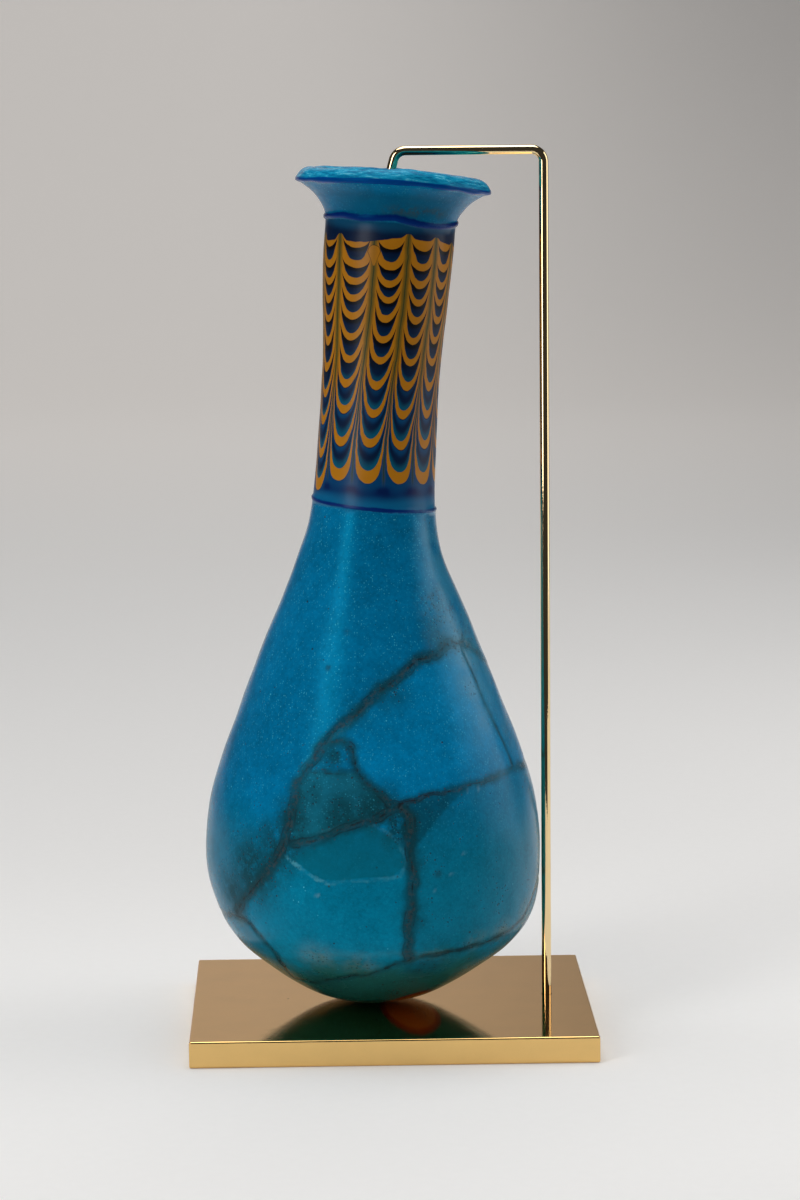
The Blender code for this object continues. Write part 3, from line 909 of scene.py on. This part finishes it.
def neck_colour(f, place, turn, height, settings):
    """The neck from its foot to its head: navy bands, and between them the swags under their yellow band."""
    sway = f.noise(place, 9.0, 1.0) - 0.5
    shiver = f.noise(place, 2.0, 2.0) - 0.5
    sag = f.band(turn, -110.0, -57.0, 18.0) * (0.8 + 2.8 * f.fall(height, 158.0, 182.0))
    turn_here = turn + 2.4 * sway + 1.3 * shiver
    height_here = height + sag + 1.6 * (f.noise(place, 12.0, 1.0) - 0.5) + 0.4 * shiver
    colour, number, square = swags(f, turn_here, height_here, settings)

    mound = (1.7 * f.fall(turn, -40.0, -22.0) + 1.0 * f.rise(turn, -5.0, 10.0)) * f.rise(square, 0.20, 0.85)
    band_top = BAND_TOP + 1.3 * f.band(turn, -8.0, 60.0, 22.0) + mound
    above_band = height_here - band_top
    in_band = f.fall(number, -1.005, -0.995)
    colour = f.mix(in_band, colour, settings.ochre)
    loop = loop_outline(f, turn_here, height_here)
    colour = f.mix(f.fall(loop, -0.1, 0.1) * 0.8, colour, settings.ochre)
    colour = f.mix(f.band(loop, -0.08, 0.08, 0.07) * 0.85, colour, LOOP_LINE)

    strip = f.mix(f.rise(height + 1.6 * sway, 196.0, 198.4), settings.navy, HEAD_BLUE)
    colour = f.mix(f.rise(above_band, -0.05, 0.15), colour, strip)
    foot_band = f.band(height + 2.0 * sway, 131.3, 133.3, 0.8)
    under = f.mix(foot_band, FOOT_BLUE, FOOT_BAND)
    past_last = f.rise(number, LAST_THREAD + 0.02, LAST_THREAD + 0.5)
    colour = f.mix(past_last * f.fall(height, 133.0, 136.0), colour, under)
    return f.mix(f.fall(height + 2.0 * sway, 129.2, 131.4), colour, FOOT_TURQUOISE)


def body_colour(f, place, height, settings):
    """The body's glass: cloudy, full of fine bubbles, pitted and stained, each fragment with its own tone."""
    clouds = f.noise(place, 16.0, 4.0, 0.6)
    flecks = f.noise(place, 0.9, 3.0, 0.7)
    mottle = f.noise(place, 4.0, 4.0, 0.65)
    tone = 0.66 + 0.66 * clouds + 0.70 * (flecks - 0.5) + 0.45 * (mottle - 0.5)
    drifting = height + 16.0 * (clouds - 0.5)
    colour = f.mix(f.fall(drifting, 40.0, 64.0), settings.turquoise, settings.low_turquoise)
    colour = f.brighten(colour, tone * (1.0 + 0.42 * f.attribute("light")))
    green = f.share(f.attribute("green") * (0.30 + 0.5 * clouds) + 0.95 * f.fall(drifting, 11.0, 21.0))
    colour = f.mix(green, colour, f.brighten(settings.green_glass, 0.75 + 0.5 * flecks))

    # Paler films of weathered glass, partly painted light: the pale colour adds painted sheen up the right
    # side, and below about 22 mm the sandy colour is a painted reflection of the brass plate.
    film_and_reflection = f.attribute("film_and_reflection") * f.rise(f.noise(place, 3.4, 5.0, 0.7), 0.30, 0.62)
    film_colour_and_reflection = f.mix(f.fall(height, 22.0, 34.0), PALE_FILM_AND_SHEEN, SANDY_FILM_AND_BRASS_REFLECTION)
    colour = f.mix(0.62 * film_and_reflection, colour, film_colour_and_reflection)
    brownish = f.attribute("film_and_reflection") * f.rise(f.noise(place, 2.2, 4.0, 0.7), 0.50, 0.62)
    brownish = brownish * (0.25 + 0.75 * f.rise(height, 76.0, 90.0))
    colour = f.mix(0.65 * brownish, colour, BROWN_FILM)
    stained = f.share(1.3 * f.attribute("stain") * f.rise(f.noise(place, 3.0, 5.0, 0.7), 0.22, 0.58))
    colour = f.mix(0.85 * stained, colour, STAIN)
    ochre = f.rise(f.attribute("ochre_patch") + 2.0 * (clouds - 0.5), -0.3, 0.6)
    rim = f.band(f.attribute("ochre_patch") + 2.0 * (clouds - 0.5), -0.5, 0.9, 0.4)
    colour = f.mix(ochre, colour, PATCH_OCHRE)
    colour = f.mix(rim * 0.8, colour, PATCH_EDGE)

    varied = f.rise(f.noise(place, 1.9, 3.0, 0.7), 0.36, 0.66)
    fine = f.specks(place, 0.58, 0.42, 0.55) * (0.25 + 0.75 * f.rise(height, 35.0, 75.0))
    rare = f.rise(f.noise(place, 7.0, 3.0, 0.65), 0.50, 0.66)
    bright = (f.specks(place, 1.5, 0.17, 0.35) + f.specks(place, 2.6, 0.13, 0.40)) * rare
    colour = f.mix(f.share(fine * 0.42 * varied + bright * (0.35 + 0.65 * varied)), colour, BUBBLE)
    dirty = f.rise(f.most(stained, f.attribute("film_and_reflection")), 0.15, 0.5)
    sooty = f.rise(f.noise(place, 8.0, 3.0, 0.65), 0.52, 0.62) * f.fall(height, 60.0, 95.0)
    dirty = f.most(dirty, sooty * f.fall(f.attribute("light"), 0.25, 0.5))
    pits = f.specks(place, 4.2, 0.085, 0.45)
    pits = pits + dirty * (f.specks(place, 1.2, 0.26, 0.55) + f.specks(place, 0.7, 0.32, 0.3))
    spot = f.attribute("spot")
    colour = f.mix(f.share(spot) * 0.7, colour, PALE_SPOT)
    pits = f.share(pits + f.share(-spot))
    return f.mix(pits * 0.75, colour, PIT), pits, stained


def mended(f, place, colour, settings):
    """The joins laid over the glass: dark bands that show soft through it, with a crack along their middle,
    brownish fill and specks."""
    grain = f.noise(place, 1.1, 4.0, 0.7)
    patchy = f.noise(place, 4.5, 3.0, 0.6)
    join = f.attribute("join") + 0.8 * (grain - 0.5) + 2.6 * (patchy - 0.5)
    shade = f.fall(join, -0.7, 1.5) * (0.55 + 0.7 * patchy)
    colour = f.mix(f.share(shade) * 0.92, colour, f.mix(patchy, JOIN_TEAL, JOIN_GREY))
    filled = f.fall(join, -0.9, 0.0) * f.rise(grain, 0.42, 0.66)
    rust = f.attribute("rust") * f.rise(f.noise(place, 1.6, 3.0), 0.35, 0.6)
    fill = f.mix(rust, f.brighten(settings.mending, 0.45 + 1.0 * grain), settings.rust)
    colour = f.mix(filled * 0.62, colour, fill)
    crack = f.fall(f.attribute("crack") + 0.35 * (grain - 0.5), 0.10, 0.42)
    crack = crack * f.rise(f.noise(place, 3.2, 3.0), 0.36, 0.60)
    edge = f.band(f.attribute("join") + 1.0 * (patchy - 0.5), -0.20, 0.10, 0.14)
    crack = f.most(crack, 0.65 * edge * f.rise(f.noise(place, 5.0, 3.0), 0.46, 0.58))
    colour = f.mix(crack * 0.85, colour, f.mix(rust, CRACK, RUSTY_CRACK))
    near = f.fall(join, 0.0, 3.0)
    specks = f.specks(place, 1.2, 0.20, 0.5) * near * f.rise(f.attribute("rust") + patchy, 0.5, 0.9)
    return f.mix(specks * 0.7, colour, f.mix(grain, DARK_SPECK, BROWN_SPECK)), filled


def chipped(f, place, turn, height, colour):
    """The chipped place at the lower left: deeper in colour, with a painted highlight along the crest of its
    edge.
    """
    colour = f.mix(f.rise(f.attribute("chip"), 0.0, 0.6) * 0.60, colour, CHIPPED)
    # Painted highlight: a pale line along the chip's crest, where its edge catches the light.
    crest = f.fall(f.attribute("crest") + 1.6 * (f.noise(place, 2.0, 4.0, 0.65) - 0.5), 0.05, 0.75)
    crest = crest * (0.35 + 0.65 * f.fall(turn, -22.0, -12.0) * f.fall(height, 46.0, 48.0))
    crest = crest * f.rise(f.noise(place, 5.0, 2.0), 0.32, 0.62)
    return f.mix(crest * 0.55, colour, CREST_HIGHLIGHT)


def lip_colour(f, place, turn, height, colour, settings):
    """The flare under the lip with its painted shade, dirty at its middle, the lip's top with painted
    highlight streaks, and the raised threads.
    """
    # Painted shade: the flare under the lip is darkened towards a mottled dark teal, most at the front.
    flare = f.band(height, 199.5, 205.5, 1.5) * (0.45 + 0.55 * f.band(turn, -45.0, 45.0, 25.0))
    colour = f.mix(flare * 0.80, colour, f.mix(f.noise(place, 3.0, 3.0), FLARE_DARK, FLARE_LIGHT))
    middle = f.band(height, 200.5, 202.5, 1.0) * f.band(turn, -5.0, 48.0, 14.0)
    dirt = f.rise(f.noise(place, 2.2, 5.0, 0.75), 0.42, 0.60)
    colour = f.mix(middle * dirt * 0.60, colour, FLARE_DIRT)

    # The lip's top: a mottled colour whose lighter streaks are partly painted highlight, and whose palest
    # streaks are wholly painted highlight.
    top = f.rise(height, 207.9, 209.0)
    highlight_streaks = f.noise(f.scaled(place, (0.30, 0.30, 1.6)), 1.1, 4.0, 0.7)
    colour = f.mix(top * 0.9, colour, f.mix(f.rise(highlight_streaks, 0.35, 0.60), LIP_DARK, LIP_LIGHT))
    colour = f.mix(top * f.rise(highlight_streaks, 0.56, 0.68) * 0.6, colour, LIP_HIGHLIGHT)
    thread = f.mix(f.rise(height, 204.0, 206.0), settings.thread_blue, RIM_BLUE)
    for name in THREADS:
        on_thread = f.fall(f.attribute(name) + 0.3 * (f.noise(place, 1.5, 2.0) - 0.5), -0.2, 0.15)
        colour = f.mix(on_thread, colour, thread)
    return colour


def glass_finish(settings):
    """Opaque turquoise glass with dragged threads on the neck and old joins on the body."""
    f = Finish("glass_finish")
    place = f.attribute("upright", "Vector")
    across, deep, height = f.parts(place)
    turn = f.math("ARCTAN2", across, -deep) * (180.0 / math.pi)

    colour, pits, stained = body_colour(f, place, height, settings)
    colour = chipped(f, place, turn, height, colour)
    colour, filled = mended(f, place, colour, settings)
    neck = f.rise(height, NECK_FOOT_HEIGHT / MM, NECK_FOOT_HEIGHT / MM + 1.0)
    neck = neck * f.fall(height, NECK_HEAD_HEIGHT / MM, NECK_HEAD_HEIGHT / MM + 1.0)
    colour = f.mix(neck, colour, neck_colour(f, place, turn, height, settings))
    colour = lip_colour(f, place, turn, height, colour, settings)

    # Painted sheen: up the body's right side the colour is paled towards the side light's reflection, and the
    # coat there adds real gloss.
    right_sheen = f.band(turn, 50.0, 120.0, 16.0) * f.rise(f.noise(place, 6.0, 2.0), 0.2, 0.6)
    right_sheen = right_sheen * (0.25 + 0.75 * f.rise(height, 65.0, 90.0)) * f.fall(height, 120.0, 132.0)
    colour = f.mix(0.45 * right_sheen * (1.0 - filled), colour, RIGHT_PAINTED_SHEEN)
    # Painted shade: the inside of the hollow is darkened towards a dark teal.
    colour = f.mix(f.attribute("hollow") * 0.8, colour, HOLLOW_SHADE)

    on_neck = f.rise(height, 126.0, 129.0) * f.fall(height, 197.5, 199.5)
    fine = f.noise(place, 0.55, 3.0, 0.6)
    rough = 0.24 + 0.10 * on_neck + 0.10 * (fine - 0.5) + 0.25 * stained + 0.30 * filled
    body_only = 1.0 - on_neck
    relief = 0.5 + 0.14 * (fine - 0.5) * (0.35 + 0.65 * body_only) - 0.40 * f.share(pits) * body_only
    relief = relief + 0.30 * filled * (f.noise(place, 0.7, 3.0, 0.7) - 0.5)
    normal = f.bump(relief, 0.00022)
    coat = (0.05 * on_neck + 0.50 * right_sheen) * f.fall(height, 197.0, 203.0)
    shared = {"Base Color": colour, "Roughness": f.share(rough), "Normal": normal,
              "Coat Weight": f.share(coat), "Coat Roughness": 0.24, "IOR": 1.5}
    tinted = {**shared, "Specular Tint": tuple(settings.sheen)}
    low_body = f.node("ShaderNodeBsdfPrincipled", None, {**tinted, "Specular IOR Level": LOW_BODY_GLOSS})
    high_body = f.node("ShaderNodeBsdfPrincipled", None, {**tinted, "Specular IOR Level": HIGH_BODY_GLOSS})
    glossier = f.band(height, 67.0, 190.0, 15.0)
    body = f.node("ShaderNodeMixShader", None, {0: glossier, 1: low_body, 2: high_body})
    neck_glass = f.node("ShaderNodeBsdfPrincipled", None, {**shared, "Specular IOR Level": NECK_GLOSS})
    glass = f.node("ShaderNodeMixShader", None, {0: on_neck, 1: body, 2: neck_glass})
    f.node("ShaderNodeOutputMaterial", None, {"Surface": glass})
    return f.material


def brass_finish(name, brass, grazing, dull):
    """Polished brass with faint wipe marks, a thin haze and a few dark specks."""
    f = Finish(name)
    place = f.scaled(f.node("ShaderNodeTexCoord", None, None, "Object"), (1 / MM, 1 / MM, 1 / MM))
    haze = f.noise(place, 9.0, 4.0, 0.6)
    wipes = f.noise(f.scaled(place, (0.15, 2.0, 2.0)), 1.6, 3.0, 0.6)
    spots = f.specks(place, 9.0, 0.035, 0.5)
    colour = f.brighten(brass, 0.93 + 0.14 * haze)
    colour = f.mix(f.share(spots) * 0.8, colour, TARNISH)
    rough = dull + 0.05 * f.rise(haze, 0.45, 0.75) + 0.03 * wipes + 0.4 * spots
    normal = f.bump(0.6 * wipes + 0.4 * f.noise(place, 5.0, 1.0), 0.000006)
    return f.shader({"Base Color": colour, "Metallic": 1.0, "Roughness": f.share(rough), "Normal": normal,
                     "Specular Tint": tuple(grazing)})


def make_plate(settings):
    """The plate, with softened edges and a hole for the rod's foot."""
    deselect()
    middle = (plate_low + plate_high) / 2
    bpy.ops.mesh.primitive_cube_add(size=1.0)
    piece = start_piece("brass_plate")
    bpy.ops.transform.resize(value=plate_high - plate_low)
    bpy.ops.transform.translate(value=middle)
    bpy.ops.object.mode_set(mode="OBJECT")
    reshape(piece, "Softened edges", "BEVEL", width=settings.edge_round, segments=EDGE_STEPS)

    deselect()
    seat = (rod_high.x - ROD_RADIUS, (rod_low.y + rod_high.y) / 2, plate_high.z)
    seat_depth = plate_high.z - rod_low.z
    bpy.ops.mesh.primitive_cylinder_add(vertices=SEAT_SIDES, radius=ROD_RADIUS + SEAT_CLEARANCE / 2,
                                        depth=2 * seat_depth, location=seat)
    drill = bpy.context.object
    deselect()
    bpy.context.view_layer.objects.active = piece
    piece.select_set(True)
    reshape(piece, "Rod seat", "BOOLEAN", object=drill)
    bpy.data.objects.remove(drill)
    bpy.ops.object.shade_smooth_by_angle(angle=SHARP_ANGLE)
    reshape(piece, "Flat faces", "WEIGHTED_NORMAL", keep_sharp=True)
    finish = brass_finish("plate_finish", settings.brass, settings.grazing, settings.polish)
    settle(piece, "base_plate", finish)


def rod_corners():
    """The rod's foot, its two corners and its tip, from the solid's box."""
    y = (rod_low.y + rod_high.y) / 2
    post_x = rod_high.x - ROD_RADIUS
    bar_z = rod_high.z - ROD_RADIUS
    mouth_across = axis_at(np.array([LIP_HEIGHT]))[0]
    hook_x = bottle_low.x + BELLY_RADIUS + float(mouth_across[0]) + HOOK_RIGHT_OF_MOUTH
    tip_x = rod_low.x + ROD_RADIUS * math.cos(HOOK_SLANT)
    drop = (hook_x - tip_x) / math.tan(HOOK_SLANT)
    return (Vector((post_x, y, rod_low.z)), Vector((post_x, y, bar_z)), Vector((hook_x, y, bar_z)),
            Vector((tip_x, y, bar_z - drop)))


def make_rod(settings):
    """One round rod: a circle extruded up the post, spun round each bend and extruded on to the tip."""
    corners = rod_corners()
    deselect()
    bpy.ops.mesh.primitive_circle_add(vertices=settings.rod_sides, radius=ROD_RADIUS, fill_type="NGON")
    piece = start_piece("brass_rod")
    bpy.ops.transform.translate(value=corners[0])
    here = corners[0]
    for before, corner, after in zip(corners, corners[1:], corners[2:]):
        arriving = (corner - before).normalized()
        leaving = (after - corner).normalized()
        turn = arriving.angle(leaving)
        start = corner - arriving * BEND_RADIUS * math.tan(turn / 2)
        inward = (leaving - arriving * arriving.dot(leaving)).normalized()
        bpy.ops.mesh.extrude_region_move(TRANSFORM_OT_translate={"value": start - here})
        bpy.ops.mesh.spin(steps=BEND_STEPS, angle=turn, center=start + inward * BEND_RADIUS,
                          axis=inward.cross(arriving))
        here = corner + leaving * BEND_RADIUS * math.tan(turn / 2)
    bpy.ops.mesh.extrude_region_move(TRANSFORM_OT_translate={"value": corners[-1] - here})
    bpy.ops.mesh.select_all(action="SELECT")
    bpy.ops.mesh.remove_doubles(threshold=MERGE_DISTANCE)
    bpy.ops.mesh.normals_make_consistent(inside=False)
    bpy.ops.object.mode_set(mode="OBJECT")
    bpy.ops.object.shade_smooth_by_angle(angle=SHARP_ANGLE)
    # The rod's paler brass is partly painted highlight.
    finish = brass_finish("rod_finish", settings.rod_brass_and_highlight, ROD_GRAZING, settings.polish * 0.4)
    settle(piece, "support_rod", finish)


def paper_finish(settings):
    """Pale paper: a little light of its own keeps the far backdrop even, darker towards the top right."""
    f = Finish("paper_finish")
    place = f.node("ShaderNodeTexCoord", None, None, "Object")
    across, deep, up = f.parts(place)
    distance = f.math("ABSOLUTE", deep)
    far = f.rise(distance, 0.25, 1.7)
    right = f.rise(across, -0.1, 0.5)
    darker = 0.145 * f.rise(distance, 0.5, 1.1) + 0.05 * f.rise(distance, 1.9, 2.3)
    darker = darker + 0.08 * f.rise(up, 0.03, 0.35)
    glow = 0.05 + 0.39 * far + 0.07 * f.fall(deep, 0.0, 0.25)
    glow = glow + right * (0.12 * f.fall(distance, 0.3, 0.7) - darker)
    tooth = 0.985 + 0.03 * f.noise(f.scaled(place, (1 / MM, 1 / MM, 1 / MM)), 3.0, 3.0)
    colour = f.brighten(settings.paper, tooth)
    warmed = f.mix(far, settings.paper, settings.far_paper)
    return f.shader({"Base Color": colour, "Roughness": 0.9, "Emission Color": f.brighten(warmed, glow),
                     "Emission Strength": 1.0, "Specular IOR Level": 0.1})


def make_backdrop(settings):
    """A round floor whose edge sweeps up into a wall. Only the paper under and behind the bottle is mirrored
    and lights it: the rest shows to the camera alone."""
    section = [Vector((FLOOR_REACH * share, 0.0)) for share in FLOOR_RINGS]
    for angle in range(0, 91, SWEEP_STEP):
        turn = math.radians(angle)
        out = FLOOR_REACH + SWEEP_RADIUS * math.sin(turn)
        section.append(Vector((out, SWEEP_RADIUS * (1 - math.cos(turn)))))
    section.append(Vector((FLOOR_REACH + SWEEP_RADIUS, WALL_HEIGHT)))
    sweep = turned_piece("paper_sweep", section, SWEEP_SIDES)
    sweep.data.flip_normals()
    sweep.data.materials.append(paper_finish(settings))
    bpy.ops.object.mode_set(mode="EDIT")
    bpy.ops.mesh.select_all(action="DESELECT")
    bpy.ops.object.mode_set(mode="OBJECT")
    for face in sweep.data.polygons:
        out = Vector(face.center).xy.length
        behind = face.center.y > 0.0 and abs(face.center.x) < PAPER_HALF_WIDTH
        in_front = face.center.y < -FRONT_PAPER
        face.select = in_front or (out > FLOOR_REACH / 2 and not behind)
    bpy.ops.object.mode_set(mode="EDIT")
    bpy.ops.mesh.separate(type="SELECTED")
    bpy.ops.object.mode_set(mode="OBJECT")
    around = [o for o in bpy.context.selected_objects if o != sweep][0]
    around.name = "paper_sweep_around"
    around.visible_glossy = False
    around.visible_diffuse = False


def add_light(name, light, power):
    deselect()
    bpy.ops.object.light_add(type="AREA", location=light.place)
    lamp = bpy.context.object
    lamp.name = name
    lamp.data.shape = "RECTANGLE"
    lamp.data.size = light.width
    lamp.data.size_y = light.height
    lamp.data.energy = power
    lamp.rotation_euler = (Vector(LIT_PLACE) - Vector(light.place)).to_track_quat("-Z", "Y").to_euler()
    lamp.visible_camera = False


def make_lights(settings):
    """Large soft lights: front left, right and overhead."""
    add_light("key_light", KEY_LIGHT, settings.key_power)
    add_light("side_light", SIDE_LIGHT, settings.side_power)
    add_light("top_light", TOP_LIGHT, settings.top_power)
    world = bpy.data.worlds.new("dim_room")
    world.use_nodes = True
    room = world.node_tree.nodes["Background"].inputs
    room["Color"].default_value = (*ROOM_COLOUR, 1.0)
    room["Strength"].default_value = ROOM_STRENGTH
    bpy.context.scene.world = world


def make_camera():
    deselect()
    bpy.ops.object.camera_add()
    camera = bpy.context.object
    camera.name = "photo_camera"
    turn = Matrix.Rotation(-CAMERA_RIGHT, 4, "Z") @ Matrix.Rotation(math.radians(90) - CAMERA_DOWN, 4, "X")
    camera.matrix_world = Matrix.Translation(CAMERA_PLACE) @ turn @ Matrix.Rotation(CAMERA_ROLL, 4, "Z")
    camera.data.sensor_fit = "VERTICAL"
    camera.data.sensor_height = SENSOR
    camera.data.sensor_width = SENSOR
    camera.data.lens = LENS
    camera.data.clip_start = 0.01
    camera.data.clip_end = 20.0
    bpy.context.scene.camera = camera
    bpy.context.scene.view_settings.view_transform = "Standard"


class GLASSBOTTLE_OT_bottle(bpy.types.Operator):
    """Build the mended glass bottle with its swagged neck"""

    bl_idname = "glass_bottle.add_bottle"
    bl_label = "Glass Bottle"
    bl_options = {"REGISTER", "UNDO"}

    def execute(self, context):
        make_bottle(context.scene.bottle_settings)
        return {"FINISHED"}


class GLASSBOTTLE_OT_plate(bpy.types.Operator):
    """Build the brass plate under the bottle"""

    bl_idname = "glass_bottle.add_plate"
    bl_label = "Brass Plate"
    bl_options = {"REGISTER", "UNDO"}

    def execute(self, context):
        make_plate(context.scene.stand_settings)
        return {"FINISHED"}


class GLASSBOTTLE_OT_rod(bpy.types.Operator):
    """Build the bent brass rod that holds the bottle by its neck"""

    bl_idname = "glass_bottle.add_rod"
    bl_label = "Brass Rod"
    bl_options = {"REGISTER", "UNDO"}

    def execute(self, context):
        make_rod(context.scene.stand_settings)
        return {"FINISHED"}


class GLASSBOTTLE_OT_stage(bpy.types.Operator):
    """Build the paper sweep, the lights and the camera"""

    bl_idname = "glass_bottle.add_stage"
    bl_label = "Stage"
    bl_options = {"REGISTER", "UNDO"}

    def execute(self, context):
        make_backdrop(context.scene.stage_settings)
        make_lights(context.scene.stage_settings)
        make_camera()
        return {"FINISHED"}


class GLASSBOTTLE_PT_panel(bpy.types.Panel):
    """Lists the bottle's pieces with their settings"""

    bl_idname = "GLASSBOTTLE_PT_panel"
    bl_label = "Glass Bottle"
    bl_space_type = "VIEW_3D"
    bl_region_type = "UI"
    bl_category = "Glass Bottle"

    def draw(self, context):
        scene = context.scene
        for settings, operators in ((scene.bottle_settings, [GLASSBOTTLE_OT_bottle]),
                                    (scene.stand_settings, [GLASSBOTTLE_OT_plate, GLASSBOTTLE_OT_rod]),
                                    (scene.stage_settings, [GLASSBOTTLE_OT_stage])):
            box = self.layout.box()
            for name in settings.__annotations__:
                box.prop(settings, name)
            for operator in operators:
                box.operator(operator.bl_idname)


CLASSES = (BottleSettings, StandSettings, StageSettings, GLASSBOTTLE_OT_bottle, GLASSBOTTLE_OT_plate,
           GLASSBOTTLE_OT_rod, GLASSBOTTLE_OT_stage, GLASSBOTTLE_PT_panel)


def register():
    for made in CLASSES:
        bpy.utils.register_class(made)
    bpy.types.Scene.bottle_settings = PointerProperty(type=BottleSettings)
    bpy.types.Scene.stand_settings = PointerProperty(type=StandSettings)
    bpy.types.Scene.stage_settings = PointerProperty(type=StageSettings)


def unregister():
    del bpy.types.Scene.stage_settings
    del bpy.types.Scene.stand_settings
    del bpy.types.Scene.bottle_settings
    for made in reversed(CLASSES):
        bpy.utils.unregister_class(made)


def main():
    register()
    bpy.ops.glass_bottle.add_stage()
    bpy.ops.glass_bottle.add_plate()
    bpy.ops.glass_bottle.add_rod()
    bpy.ops.glass_bottle.add_bottle()


if __name__ == "__main__":
    main()
